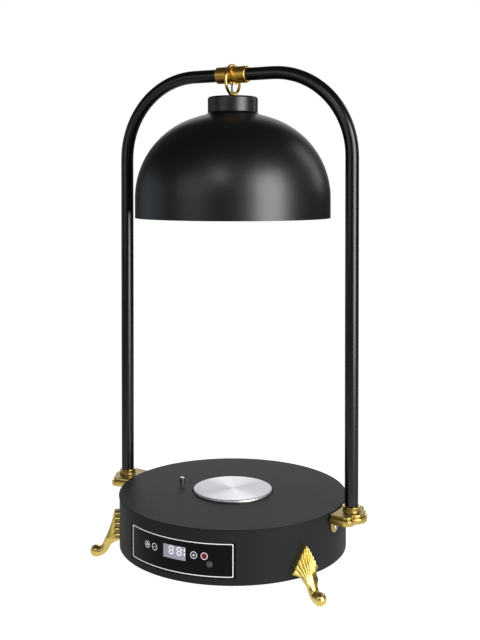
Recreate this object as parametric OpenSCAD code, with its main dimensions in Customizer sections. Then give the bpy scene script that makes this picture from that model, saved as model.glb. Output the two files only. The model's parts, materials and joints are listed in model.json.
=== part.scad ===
// Food heat lamp: a domed lamp that hangs by a ring from an arch over a round base with a heated disc.
// Millimetres, +Z up. The origin is on the table under the middle of the base, and the panel faces -Y.

/* [Base drum] */
// Diameter of the round top plate
base_d = 300; // [280:1:340]
// Height of the base from its underside to its top
base_h = 66; // [62:1:84]
// Height of the base's underside above the table
foot_h = 23; // [20:1:32]
// Thickness of the drum's sheet wall
wall_t = 2; // [1.6:0.1:2.6]
// Thickness of the top plate
top_t = 2; // [1.6:0.1:2.6]
// How far the top plate stands out past the drum wall
top_over = 0.8; // [0.4:0.1:1.4]
// Thickness of the bottom cover
cover_t = 1.5; // [1:0.1:2.5]
// How far the bottom cover is set up into the drum
cover_recess = 2.5; // [1.5:0.1:4]
// Number of ventilation slots in the bottom cover
vent_count = 12; // [8:1:16]
// Width of a ventilation slot
vent_w = 4; // [2:0.5:6]
// Length of a ventilation slot
vent_l = 34; // [20:1:44]
// Number of screws that hold the bottom cover
cover_screw_count = 6; // [4:1:8]

/* [Heating disc] */
// Diameter of the heating disc
disc_d = 105; // [90:1:116]
// Thickness of the heating disc
disc_t = 6; // [5:0.5:9]
// How far the disc stands above the top plate
disc_proud = 3; // [2:0.5:4.5]
// Gap between the disc and the hole in the top plate
disc_gap = 1; // [0.8:0.1:2]
// Chamfer along the disc's rim
disc_chamfer = 1.8; // [0.6:0.1:2.2]
// Thickness of the heater under the disc
heater_t = 4; // [3:0.5:6]

/* [Temperature probe] */
// Distance of the probe's axis from the disc's rim
probe_reach = 19.5; // [19:0.5:28]
// Angle of the probe round the base, from +X
probe_angle = 189.6; // [172:0.2:205]
// Diameter of the probe pin
probe_d = 6.4; // [5:0.1:8]
// How far the probe stands above the top plate
probe_h = 10; // [8:0.5:12]
// How far a dish can press the probe down
probe_travel = 7; // [5:0.5:7.5]
// Wire thickness of the probe's spring
spring_wire = 0.8; // [0.6:0.1:1]
// Turns of the probe's spring
spring_turns = 6; // [5:1:7]

/* [Control panel] */
// Width of the panel's window, measured round the drum
panel_w = 154; // [130:1:170]
// Height of the panel's window
panel_h = 42.5; // [38:0.5:44]
// Height of the window's lower edge above the base's underside
panel_z = 8; // [7.6:0.1:9]
// How far the panel film lies behind the drum's surface
panel_recess = 1; // [0.6:0.1:1.3]
// Width of the digital display
display_w = 31; // [26:0.5:36]
// Height of the digital display
display_h = 16; // [13:0.5:19]

/* [Shell feet] */
// Angle of the front feet from the middle of the panel
foot_angle = 62.5; // [55:0.5:64]
// Width of the foot's shell
shell_w = 39; // [32:0.5:42]
// Height of the shell's tip above the base's underside
shell_h = 40; // [36:0.5:43]
// Height of the shell's lower corners above the base's underside
shell_corner_z = 6; // [4:0.5:8]
// Thickness of the shell at its edge
shell_t = 8; // [6.5:0.5:10]
// Number of flutes that fan out over the shell
flute_count = 15; // [9:2:17]
// Depth of the flutes at the shell's edge
flute_depth = 1.7; // [0.8:0.1:2.2]
// Thickness of the leg at its waist, from front to back
leg_t = 10; // [8:0.5:12]
// Width of the leg at its waist
leg_w = 14.5; // [12:0.5:17]
// Width of the leg where the outer flutes leave it
root_w = 17; // [15:0.5:19]
// How far the outer flutes leave the leg above the middle one
root_lift = 8; // [4:0.5:9]
// Diameter of the ball that the foot stands on
ball_d = 16; // [14:0.5:19]
// Distance of the ball's middle from the drum wall
ball_reach = 32; // [28:0.1:36]
// Height of the flat cut off the ball's underside
ball_flat = 0.4; // [0.3:0.1:0.8]

/* [Post brackets] */
// Distance of each post's axis from the edge of the top plate
post_offset = 17.5; // [16:0.5:22]
// Height of the lower tier of the bracket
tier_h = 7; // [6:0.5:8]
// Height of the upper bead of the bracket
bead_h = 3; // [2:0.5:4]
// Height of the groove between the two tiers
groove_h = 1; // [0.6:0.1:1.6]
// How far the bead is set in from the lower tier
bead_inset = 2; // [1.4:0.1:2.4]
// Depth of the groove behind the bead
groove_depth = 1.2; // [0.8:0.1:1.6]
// Half the width of the bracket's lower tier
bracket_half_w = 29; // [28:0.5:31]
// How much narrower each side of the bracket is at the drum
bracket_taper = 3; // [0:0.5:4]
// How far the bracket's top lies below the base's top
bracket_drop = 1; // [0.5:0.1:2]
// Radius of the two corner lobes
corner_r = 10; // [9:0.5:11]
// Radius of the middle lobe
lobe_r = 18.4; // [17.6:0.2:20]
// Wall of the boss round the post
boss_wall = 2; // [1.5:0.1:3]
// Height of the boss above the bracket
boss_h = 7; // [6:0.5:12]
// Width of an ear
ear_w = 16; // [13:0.5:18]
// Distance between the two ears of a bracket
ear_pitch = 27; // [23:0.5:29]
// How far an ear hangs below the bracket
ear_drop = 14; // [13:0.5:17]
// Thickness of an ear
ear_t = 3; // [2:0.1:4]

/* [Arch] */
// Height of the arch tube's axis above the table
arch_h = 638; // [600:1:720]
// Bend radius of the arch tube's axis
bend_r = 109; // [90:1:125]
// Diameter of the arch tube
tube_d = 17; // [15:0.5:19]
// Wall of the arch tube
tube_t = 1.5; // [1:0.1:2.5]
// Diameter of the collar on the arch
collar_d = 22.2; // [21.4:0.1:25]
// Length of the collar
collar_l = 44; // [36:1:54]
// Depth of the collar's groove for the ring
collar_groove = 0.7; // [0.4:0.1:1]
// Diameter of the lamp lead
lead_d = 2.6; // [2:0.1:2.8]

/* [Hanging ring] */
// Inner diameter of the hanging ring
ring_in_d = 35; // [33:0.5:42]
// Wire thickness of the hanging ring
ring_wire = 4; // [3:0.1:4.4]
// Wire thickness of the eye on the lamp's cap
eye_wire = 2.6; // [2:0.1:3]

/* [Lamp] */
// Diameter of the lamp's cap
cap_d = 66; // [60:1:74]
// Height of the lamp's cap
cap_h = 22.5; // [20:0.5:30]
// Wall of the lamp's cap
cap_t = 2; // [1.5:0.1:3]
// Edge radius of the cap's top
cap_edge_r = 3; // [2:0.5:4]
// Height of the narrower neck under the cap
neck_h = 2.5; // [1.5:0.1:4]
// How far the neck is set in from the cap
neck_in = 1.8; // [1:0.1:3]
// Radius of the flare between the neck and the dome
neck_flare = 8; // [5:0.5:10]
// Diameter of the shade at its rim
shade_d = 257; // [240:1:268]
// Height of the shade's upright skirt
skirt_h = 26; // [15:1:45]
// Radius of the shade's shoulder
shoulder_r = 110; // [95:1:118]
// Radius of the shade's crown
crown_r = 158; // [145:1:200]
// Sheet thickness of the shade
shade_t = 1.2; // [0.8:0.1:2]
// Diameter of the lamp holder's body
holder_d = 36; // [34:0.5:40]
// Length of the lamp holder below the shade's crown
holder_l = 45; // [42:0.5:52]
// Diameter of the reflector bulb
bulb_d = 80; // [63:1:95]
// Length of the bulb's glass
bulb_l = 86; // [70:1:92]

/* [Hidden] */
$fn = 64;

// Clearances
fit = 0.05;
seat = 0.1;
cut = 1;
// Facets of the wide arcs in quick previews
fine = 360;

// Colours
BLACK = [0.09, 0.09, 0.10];
GLOSS = [0.03, 0.03, 0.04];
BRASS = [0.72, 0.56, 0.27];
GOLD = [0.93, 0.76, 0.30];
STEEL = [0.80, 0.81, 0.83];
ALU = [0.85, 0.86, 0.87];
BOARD = [0.10, 0.35, 0.20];
WHITE = [0.92, 0.92, 0.90];
RUBBER = [0.16, 0.16, 0.17];
GLASS = [0.95, 0.93, 0.88];

// Heights and radii of the base
base_r = base_d / 2;
wall_r = base_r - top_over;
wall_in = wall_r - wall_t;
z_bot = foot_h;
z_top = foot_h + base_h;
z_lid = z_top - top_t;
spigot_h = 5;
spigot_t = 2;
flange_w = 12;
flange_t = 2;
z_cover = z_bot + cover_recess;
z_flange = z_cover + cover_t;
cover_screw_r = wall_in - flange_w / 2;
vent_r = 52;

// Screws: shank, head and hole
m3 = 3;
m3_head = 5.6;
m4 = 4;
m4_head = 7.5;
head_h = 2.4;
nut_h = 3.2;
m4_nut = 8;
hole_play = 0.3;

// Heating disc
disc_r = disc_d / 2;
disc_hole_r = disc_r + disc_gap;
disc_z1 = z_top + disc_proud;
disc_z0 = disc_z1 - disc_t;
ring_lip = 6;
ring_flange = 8;
ring_t = 2;
disc_play = 0.6;
heater_r = disc_r - ring_lip - 1;
stud_d = 6;
clamp_t = 2;
clamp_r = heater_r - 5;
stud_nut = 11.5;
stud_nut_h = 5;
stud_l = heater_t + clamp_t + stud_nut_h + 2;
z_clamp = disc_z0 - heater_t - clamp_t;
cutout_d = 16;
cutout_h = 9;
cutout_x = 24;

// Temperature probe
probe_x = (disc_r + probe_reach) * cos(probe_angle);
probe_y = (disc_r + probe_reach) * sin(probe_angle);
bush_l = 16;
bush_wall = 1.6;
bush_flange = 2.4;
bush_flange_t = 2;
bush_r = probe_d / 2 + bush_wall;
z_bush = z_top - bush_l;
clip_t = 1.2;
clip_depth = 0.6;
clip_r = probe_d / 2 + 2.4;
clip_gap = 0.3;
z_clip = z_bush - clip_gap - clip_t;
spring_l = probe_travel + spring_wire * (spring_turns + 2) + 1;
spring_r = probe_d / 2 + spring_wire / 2 + 0.6;
guide_t = 1.5;
guide_w = 9;
guide_half = bush_r + bush_flange + 3;
guide_foot = 6;
z_guide = z_clip - spring_l - guide_t;
tail_l = 2;
probe_chamfer = 0.5;

// Control panel
panel_half = panel_w / 2 / wall_r * 180 / PI;
panel_play = 0.15;
z_panel = z_bot + panel_z;
carrier_t = 3;
carrier_over = 4;
carrier_r = wall_in - seat;
carrier_half = panel_half + carrier_over / wall_r * 180 / PI;
z_carrier = z_flange + flange_t + seat;
board_t = 1.6;
board_w = 110;
board_h = 38;
board_boss_a = 18;
board_boss_l = 8;
board_y = -(carrier_r - carrier_t) * cos(board_boss_a) + board_boss_l;
board_boss_x = (carrier_r - carrier_t) * sin(board_boss_a);
board_boss_dz = 30;
board_boss_d = 7;
z_board = z_panel + panel_h / 2;
display_rise = 25;
display_z = z_panel + display_rise;
display_y = -sqrt(pow(carrier_r - seat, 2) - pow(display_w / 2 + seat, 2)) + 0.5;

// Power board
post_h = 8;
post_d = 7;
power_l = 88;
power_w = 64;
power_inset = 72;
power_x = wall_in - power_inset;
z_power = z_flange + post_h;
transformer_l = 40;
transformer_w = 34;
transformer_h = 22;
terminal_l = 12;
terminal_w = 28;
terminal_h = 11;
lead_turn = 12;
terminal_inset = 22;
terminal_x = wall_in - terminal_inset - lead_turn;

// Cord gland at the back, beside the rear foot
gland_angle = 55;
gland_rise = 24;
gland_z = z_bot + gland_rise;
gland_r = 6;
gland_bore = 4;
gland_flange_r = 9.5;
gland_flange_t = 5;
gland_nut_t = 4;
gland_tail = 3;

// Post brackets
post_x = base_r + post_offset;
tube_r = tube_d / 2;
z_bracket = z_top - bracket_drop;
bracket_t = tier_h + groove_h + bead_h;
z_tier = z_bracket - bracket_t;
corner_x = post_x + 1;
lobe_x = post_x + 1.2;
bracket_gap = 1.2;
boss_r = tube_r + boss_wall;
lip_h = 1.6;
lip_out = 0.6;
socket_web = 2.5;
z_tube = z_tier + socket_web;
ear_y = ear_pitch / 2;
ear_screw_dz = 7;
z_ear_screw = z_tier - ear_drop + ear_screw_dz;
channel_d = lead_d + 3;
z_channel = z_tube + channel_d / 2 + 0.5;
grub_d = 4;
z_grub = z_bracket + boss_h / 2;

// Arch, collar and eyelet
bend_x = post_x - bend_r;
bend_z = arch_h - bend_r;
collar_r = collar_d / 2;
collar_chamfer = 0.6;
groove_w = ring_wire + 1;
eyelet_r = 4;
eyelet_flange_r = 5.6;
eyelet_flange_t = 1.5;
z_eyelet = arch_h - collar_r - eyelet_flange_t;
lead_turn_in = 5;

// Hanging ring and the eye that it carries
hang_gap = 0.2;
ring_r = ring_in_d / 2 + ring_wire / 2;
ring_z = arch_h + collar_r - collar_groove + hang_gap - ring_in_d / 2;
hook_z = ring_z - ring_r;
eye_r = ring_wire / 2 + eye_wire / 2 + 1.2;
eye_z = hook_z + ring_wire / 2 + hang_gap + eye_wire / 2 - eye_r;

// Lamp
cap_gap = 0.6;
cap_r = cap_d / 2;
z_cap_top = hook_z - ring_wire / 2 - cap_gap;
z_cap = z_cap_top - cap_h;
crown_z = z_cap - sqrt(pow(crown_r, 2) - pow(cap_r, 2));
shade_r = shade_d / 2;
shoulder_x = shade_r - shoulder_r;
shoulder_z = crown_z + sqrt(pow(crown_r - shoulder_r, 2) - pow(shoulder_x, 2));
rim_z = shoulder_z - skirt_h;
joint_x = shoulder_x * crown_r / (crown_r - shoulder_r);
joint_z = crown_z + (shoulder_z - crown_z) * crown_r / (crown_r - shoulder_r);
z_crown = crown_z + crown_r;
eye_nut = 6.4;
eye_nut_h = 3;
flex_x = -(ring_wire / 2 + lead_d / 2 + 0.9);
flex_y = eye_nut / 2 + lead_d / 2 + 0.4;
flex_top_x = -1.2;
leg_below = cap_t + 9;
holder_r = holder_d / 2;
holder_cap_t = 2.5;
holder_cap_wall = 2;
holder_flange = 5;
holder_flange_t = 3;
z_holder_cap = z_cap_top - cap_t;
holder_top = z_crown + 4;
holder_ring_r = holder_r + 9;
holder_ring_h = 8;
thread_r = 13.6;
thread_depth = holder_l - 8;
thread_play = 0.4;
z_holder = z_crown - holder_l;
z_socket = z_holder + thread_depth;
tip_h = 3;
tip_r = 5;
base_l = 26;
neck_r = thread_r - 2 * thread_play;
z_neck = z_socket - 1 - tip_h - base_l;
neck_l = z_neck - z_holder + 2;
bulb_r = bulb_d / 2;
band_h = 8;
face_r = bulb_r * 1.5;
glass_t = 1;
base_wall_t = 1;
face_drop = face_r - sqrt(pow(face_r, 2) - pow(bulb_r, 2));

// A flat ring about Z
module ring(r_out, r_in, z0, z1) {
    difference() {
        translate([0, 0, z0]) cylinder(r = r_out, h = z1 - z0);
        translate([0, 0, z0 - cut]) cylinder(r = r_in, h = z1 - z0 + 2 * cut);
    }
}

// A curved plate about Z, centred on the panel's side
module curved_plate(r_in, r_out, z0, z1, half) {
    rotate([0, 0, -90 - half])
        rotate_extrude(angle = 2 * half)
            translate([r_in, z0])
                square([r_out - r_in, z1 - z0]);
}

// Children turned to look outwards from the drum: local +Z points away from the axis
module radial(angle, r, z) {
    rotate([0, 0, angle])
        translate([r, 0, z])
            rotate([0, 90, 0])
                children();
}

// A pan-head screw: its shank runs down from the origin and its head stands up
module pan_screw(shank, head, length) {
    translate([0, 0, -length]) cylinder(d = shank, h = length);
    cylinder(d1 = head, d2 = head / 2, h = head_h);
}

// A hex nut on +Z, with its hole
module hex_nut(across, shank, h) {
    difference() {
        cylinder(d = across, h = h, $fn = 6);
        translate([0, 0, -cut]) cylinder(d = shank + 2 * fit, h = h + 2 * cut);
    }
}

// How far inside a round wall a flat seat of half-width w has to lie to clear it
function inside_flat(r, w) = sqrt(pow(r, 2) - pow(w, 2));

// Base drum

module base_top() {
    color(BLACK)
        difference() {
            union() {
                translate([0, 0, z_lid])
                    rotate_extrude() {
                        square([base_r - top_t / 2, top_t]);
                        translate([base_r - top_t / 2, top_t / 2]) circle(d = top_t);
                    }
                ring(wall_in - seat, wall_in - seat - spigot_t, z_lid - spigot_h, z_lid + cut / 2);
            }
            translate([0, 0, z_lid - cut]) cylinder(r = disc_hole_r, h = top_t + 2 * cut);
            translate([probe_x, probe_y, z_lid - cut]) cylinder(r = bush_r + fit, h = top_t + 2 * cut);
            lead_channel();
        }
}

// The way of the lamp lead from the right post's socket into the drum
module lead_channel() {
    translate([wall_in - spigot_t - 3, 0, z_channel])
        rotate([0, 90, 0])
            cylinder(d = channel_d, h = post_x - wall_in + spigot_t + 3);
}

module base_wall() {
    color(BLACK)
        difference() {
            rotate_extrude()
                polygon([
                    [wall_in, z_bot], [wall_r, z_bot], [wall_r, z_lid], [wall_in, z_lid],
                    [wall_in, z_flange + flange_t], [wall_in - flange_w, z_flange + flange_t],
                    [wall_in - flange_w, z_flange], [wall_in, z_flange]]);
            curved_plate(wall_in - cut, wall_r + cut, z_panel, z_panel + panel_h, panel_half);
            at_bracket_screws() translate([0, 0, -10]) cylinder(d = m4 + hole_play, h = 20);
            at_foot_screws() translate([0, 0, -wall_t - cut]) cylinder(d = m4 + hole_play, h = 10);
            at_cover_screws() translate([0, 0, -10]) cylinder(d = m3 + hole_play, h = 20);
            radial(gland_angle, wall_in - cut, gland_z) cylinder(r = gland_r + fit, h = wall_t + 2 * cut);
            lead_channel();
        }
}

module at_cover_screws() {
    for (i = [0 : cover_screw_count - 1])
        rotate([0, 0, (i + 0.5) * 360 / cover_screw_count])
            translate([cover_screw_r, 0, z_cover])
                rotate([180, 0, 0])
                    children();
}

module vent_slot() {
    translate([vent_r, -vent_w / 2, 0]) square([vent_l, vent_w]);
    for (x = [vent_r, vent_r + vent_l])
        translate([x, 0]) circle(d = vent_w);
}

module at_power_posts() {
    for (dx = [-1, 1], dy = [-1, 1])
        translate([power_x + dx * (power_l - post_d) / 2, dy * (power_w - post_d) / 2, z_flange])
            children();
}

module bottom_cover() {
    color(BLACK)
        difference() {
            union() {
                translate([0, 0, z_cover]) cylinder(r = wall_in - seat, h = cover_t);
                at_power_posts() translate([0, 0, -cut / 2]) cylinder(d = post_d, h = post_h + cut / 2);
            }
            for (i = [0 : vent_count - 1])
                rotate([0, 0, i * 360 / vent_count + 180 / vent_count])
                    translate([0, 0, z_cover - cut])
                        linear_extrude(cover_t + post_h / 2)
                            vent_slot();
            at_cover_screws() translate([0, 0, -10]) cylinder(d = m3 + hole_play, h = 20);
            at_power_posts() cylinder(d = m3 + hole_play, h = post_h + cut);
        }
}

module cover_screws() {
    color(STEEL)
        at_cover_screws()
            pan_screw(m3, m3_head, cover_t + flange_t + 2);
}

// Heating disc and heater

module heating_disc() {
    color(ALU)
        union() {
            rotate_extrude()
                polygon([
                    [0, disc_z0], [disc_r, disc_z0], [disc_r, disc_z1 - disc_chamfer],
                    [disc_r - disc_chamfer, disc_z1], [0, disc_z1]]);
            translate([0, 0, disc_z0 - stud_l]) cylinder(d = stud_d, h = stud_l + disc_t / 2);
        }
}

module insulation_ring() {
    color(RUBBER)
        rotate_extrude()
            polygon([
                [disc_r - ring_lip, disc_z0 - ring_t], [disc_hole_r + ring_flange, disc_z0 - ring_t],
                [disc_hole_r + ring_flange, z_lid], [disc_r + disc_play, z_lid],
                [disc_r + disc_play, disc_z0], [disc_r - ring_lip, disc_z0]]);
}

module heater_element() {
    color(WHITE)
        ring(heater_r, stud_d / 2 + hole_play, disc_z0 - heater_t, disc_z0);
}

module heater_clamp() {
    color(STEEL)
        ring(clamp_r, stud_d / 2 + hole_play, z_clamp, z_clamp + clamp_t);
}

module heater_nut() {
    color(STEEL)
        translate([0, 0, z_clamp - stud_nut_h])
            hex_nut(stud_nut, stud_d, stud_nut_h);
}

module thermal_cutout() {
    color(GLOSS)
        translate([cutout_x, 0, z_clamp - cutout_h]) {
            cylinder(d = cutout_d, h = cutout_h);
            for (s = [-1, 1])
                translate([-0.4, s * cutout_d / 4 - 3, -6]) cube([0.8, 6, 7]);
        }
}

// Temperature probe

module probe_pin() {
    r = probe_d / 2;
    z0 = z_guide - tail_l;
    z1 = z_top + probe_h;
    color(STEEL)
        translate([probe_x, probe_y, 0])
            rotate_extrude()
                polygon([
                    [0, z0], [r - probe_chamfer, z0], [r, z0 + probe_chamfer], [r, z_clip - fit],
                    [r - clip_depth, z_clip - fit], [r - clip_depth, z_clip + clip_t + fit],
                    [r, z_clip + clip_t + fit], [r, z1 - probe_chamfer], [r - probe_chamfer, z1], [0, z1]]);
}

module probe_bush() {
    color(BLACK)
        translate([probe_x, probe_y, 0])
            difference() {
                union() {
                    translate([0, 0, z_bush]) cylinder(r = bush_r, h = bush_l);
                    translate([0, 0, z_lid - bush_flange_t])
                        cylinder(r = bush_r + bush_flange, h = bush_flange_t);
                }
                translate([0, 0, z_bush - cut]) cylinder(r = probe_d / 2 + fit, h = bush_l + 2 * cut);
            }
}

module probe_clip() {
    color(STEEL)
        translate([probe_x, probe_y, 0])
            ring(clip_r, probe_d / 2 - clip_depth + fit, z_clip, z_clip + clip_t);
}

// Points of one ring of the spring's wire, in the upright plane at angle a of the coil
function wire_ring(a, z, sides) = [
    for (k = [0 : sides - 1])
        let (r = spring_r + spring_wire / 2 * cos(k * 360 / sides))
            [r * cos(a), r * sin(a), z + spring_wire / 2 * sin(k * 360 / sides)]];

spring_rings = 8;
spring_sides = 6;
spring_z0 = z_guide + guide_t + seat + spring_wire / 2;
spring_z1 = z_clip - seat - spring_wire / 2;
spring_steps = spring_turns * spring_rings;
spring_points = [
    for (i = [0 : spring_steps])
        let (z = spring_z0 + (spring_z1 - spring_z0) * i / spring_steps)
            wire_ring(i * 360 / spring_rings, z, spring_sides)];
spring_axis = [
    for (i = [0 : spring_steps])
        let (a = i * 360 / spring_rings)
            [spring_r * cos(a), spring_r * sin(a), spring_z0 + (spring_z1 - spring_z0) * i / spring_steps]];
spring_gap = min([
    for (i = [0 : spring_steps], j = [i + spring_rings / 2 : spring_steps])
        norm(spring_axis[i] - spring_axis[j])]) - spring_wire;
echo(least_gap_of_the_spring_to_itself = spring_gap);

// A closed solid through a list of rings of points, with flat ends
module skin(rings) {
    n = len(rings[0]);
    last = len(rings) - 1;
    polyhedron(
        points = [for (one = rings) for (p = one) p],
        faces = concat(
            [[for (j = [0 : n - 1]) j]],
            [for (i = [0 : last - 1], j = [0 : n - 1])
                let (k = (j + 1) % n)
                    [i * n + k, i * n + j, (i + 1) * n + j]],
            [for (i = [0 : last - 1], j = [0 : n - 1])
                let (k = (j + 1) % n)
                    [i * n + k, (i + 1) * n + j, (i + 1) * n + k]],
            [[for (j = [0 : n - 1]) last * n + n - 1 - j]]));
}

module probe_spring() {
    color(STEEL)
        translate([probe_x, probe_y, 0])
            skin(spring_points);
}

module probe_guide() {
    h = z_lid - z_guide;
    color(STEEL)
        translate([probe_x, probe_y, z_guide])
            rotate([0, 0, probe_angle + 90])
                difference() {
                    union() {
                        translate([-guide_half, -guide_w / 2, 0]) cube([2 * guide_half, guide_w, guide_t]);
                        for (s = [-1, 1]) {
                            translate([s * (guide_half - guide_t / 2) - guide_t / 2, -guide_w / 2, 0])
                                cube([guide_t, guide_w, h]);
                            translate([s * (guide_half + guide_foot / 2), 0, h - guide_t / 2])
                                cube([guide_foot, guide_w, guide_t], center = true);
                        }
                    }
                    translate([0, 0, -cut]) cylinder(r = probe_d / 2 + fit, h = guide_t + 2 * cut);
                }
}

// Control panel

module control_panel() {
    color(GLOSS)
        curved_plate(wall_in, wall_r - panel_recess, z_panel + panel_play, z_panel + panel_h - panel_play,
            panel_half - panel_play / wall_r * 180 / PI);
}

module at_board_bosses() {
    for (sx = [-1, 1], sz = [-1, 1])
        translate([sx * board_boss_x, board_y, z_board + sz * board_boss_dz / 2])
            rotate([90, 0, 0])
                children();
}

module panel_carrier() {
    color(RUBBER)
        difference() {
            union() {
                curved_plate(carrier_r - carrier_t, carrier_r, z_carrier, z_panel + panel_h + carrier_over,
                    carrier_half);
                intersection() {
                    at_board_bosses() cylinder(d = board_boss_d, h = carrier_r + board_y);
                    translate([0, 0, z_bot]) cylinder(r = carrier_r - carrier_t / 2, h = base_h);
                }
            }
            at_board_bosses() translate([0, 0, -cut]) cylinder(d = m3 + hole_play, h = board_boss_l - cut);
            translate([-display_w / 2 - seat, -wall_r, display_z - display_h / 2 - seat])
                cube([display_w + 2 * seat, wall_r / 4, display_h + 2 * seat]);
        }
}

module display_module() {
    color(WHITE)
        translate([-display_w / 2, display_y, display_z - display_h / 2])
            cube([display_w, board_y - display_y, display_h]);
}

module control_board() {
    color(BOARD)
        difference() {
            translate([-board_w / 2, board_y, z_board - board_h / 2]) cube([board_w, board_t, board_h]);
            at_board_bosses()
                translate([0, 0, -board_t - cut])
                    cylinder(d = m3 + hole_play, h = board_t + 2 * cut);
        }
}

module board_screws() {
    color(STEEL) {
        at_board_bosses()
            translate([0, 0, -board_t])
                rotate([180, 0, 0])
                    pan_screw(m3, m3_head, board_t + board_boss_l - 3 * cut);
        at_power_posts()
            translate([0, 0, post_h + board_t])
                pan_screw(m3, m3_head, board_t + post_h - 2 * cut);
    }
}

// Power board

module power_board() {
    color(BOARD)
        difference() {
            translate([power_x - power_l / 2, -power_w / 2, z_power]) cube([power_l, power_w, board_t]);
            at_power_posts()
                translate([0, 0, post_h - cut])
                    cylinder(d = m3 + hole_play, h = board_t + 2 * cut);
        }
}

module transformer() {
    color(RUBBER)
        translate([power_x - power_l / 4 - transformer_l / 2, -transformer_w / 2, z_power + board_t])
            cube([transformer_l, transformer_w, transformer_h]);
}

module terminal_block() {
    color(WHITE)
        difference() {
            translate([terminal_x - terminal_l / 2, -terminal_w / 2, z_power + board_t])
                cube([terminal_l, terminal_w, terminal_h]);
            for (s = [-1, 0, 1])
                translate([terminal_x, s * terminal_w / 3, z_power + board_t + terminal_h / 2])
                    cylinder(d = lead_d + 2 * seat, h = terminal_h);
        }
}

// Cord gland

module cord_gland() {
    color(GLOSS)
        radial(gland_angle, wall_r, gland_z)
            difference() {
                union() {
                    cylinder(r1 = gland_flange_r, r2 = gland_flange_r - 2, h = gland_flange_t);
                    translate([0, 0, -wall_t - gland_nut_t - gland_tail])
                        cylinder(r = gland_r, h = wall_t + gland_nut_t + gland_tail + cut);
                }
                translate([0, 0, -wall_t - gland_nut_t - gland_tail - cut])
                    cylinder(r = gland_bore, h = wall_t + gland_nut_t + gland_tail + gland_flange_t + 2 * cut);
            }
}

module gland_nut() {
    color(GLOSS)
        radial(gland_angle, inside_flat(wall_in, gland_flange_r) - gland_nut_t, gland_z)
            hex_nut(2 * gland_flange_r, 2 * gland_r, gland_nut_t);
}

// Shell feet
// A foot is one skin of loops from the ball's end, up the leg, and out over the fan of flutes to the edge.
// Each loop runs across the front from side -1 to side 1 and back behind. Places are [out, across, up].

FOOT_ANGLES = [-90 - foot_angle, -90 + foot_angle, 90];
foot_samples = 2 * flute_count;
ball_r = ball_d / 2;
leg_r = leg_t / 2;
loop_open = 84;
back_z = z_bot + 1.5;
fan_steps = [0.14, 0.32, 0.52, 0.76, 1];
ball_steps = [15, 32, 50, 70];
leg_steps = [0, 0.25, 0.5, 0.75, 1];

// The leg's axis is a curve of three points, [out, up]: the ball's middle, the heel and the waist
heel_in = 10.3;
heel_drop = 1.8;
waist_reach = 17.2;
waist_drop = 4.5;
ball_at = [wall_r + ball_reach, ball_r - ball_flat];
heel_at = [wall_r + ball_reach - heel_in, ball_r - heel_drop];
waist_at = [wall_r + waist_reach, z_bot - waist_drop];

function side(j) = -1 + 2 * j / foot_samples;
function mix(a, b, f) = a + (b - a) * f;
function flute(s) = cos(180 * flute_count * s);
function leg_at(t) = pow(1 - t, 2) * ball_at + 2 * t * (1 - t) * heel_at + pow(t, 2) * waist_at;
function leg_dir(t) =
    let (d = (1 - t) * (heel_at - ball_at) + t * (waist_at - heel_at))
        d / norm(d);

// The leg thins quickly behind the ball, and flattens towards the waist
function leg_size(t) = mix(leg_r, ball_r, pow(1 - t, 2.2));
function leg_spread(t) = mix(1, leg_w / leg_t, t);

// A point of an oval loop square to the leg: a is 0 at its front and 180 at its back
function leg_point(t, along, r, a) =
    let (d = leg_dir(t))
    let (p = leg_at(t) + along * d + r * cos(a) * [d[1], -d[0]])
        [p[0], leg_spread(t) * r * sin(a), p[1]];
function leg_loop(t, along, r) = concat(
    [for (j = [0 : foot_samples]) leg_point(t, along, r, loop_open * side(j))],
    [for (j = [foot_samples : -1 : 0]) leg_point(t, along, r, 180 - loop_open * side(j))]);

// The shell's edge, scalloped at the flutes
function edge_y(s) = shell_w / 2 * s + sign(s) * flute_depth / 3 * flute(s);
function edge_z(s) = z_bot + mix(shell_h, shell_corner_z, pow(abs(s), 1.15)) + flute_depth / 3 * flute(s);
function wall_at(y) = sqrt(pow(wall_r, 2) - pow(y, 2)) + seat;

// A flute leaves the leg upright and turns outwards: u runs from its root, 0, to the edge, 1
function root_point(s) =
    let (w = leg_point(1, 0, leg_r, loop_open * s))
        [w[0], w[1] * root_w / leg_w, w[2] + root_lift * pow(s, 2)];
function front_point(u, s) =
    let (w = root_point(s))
    let (y = mix(w[1], edge_y(s), pow(u, 1.6)))
    let (x = mix(w[0], wall_at(edge_y(s)) + shell_t - flute_depth / 2, 1 - pow(1 - u, 1.45)))
        [x + flute_depth / 2 * flute(s) * (0.25 + 0.75 * u), y, mix(w[2], edge_z(s), u)];
function back_point(u, s) =
    let (y = front_point(u, s)[1])
    let (f = (u - fan_steps[0]) / (1 - fan_steps[0]))
        [wall_at(y), y, mix(back_z, edge_z(s), f)];
function fan_loop(u) = concat(
    [for (j = [0 : foot_samples]) front_point(u, side(j))],
    [for (j = [foot_samples : -1 : 0]) back_point(u, side(j))]);

foot_loops = concat(
    [for (a = ball_steps) leg_loop(0, -ball_r * cos(a), ball_r * sin(a))],
    [for (t = leg_steps) leg_loop(t, 0, leg_size(t))],
    [for (u = fan_steps) fan_loop(u)]);

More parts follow.
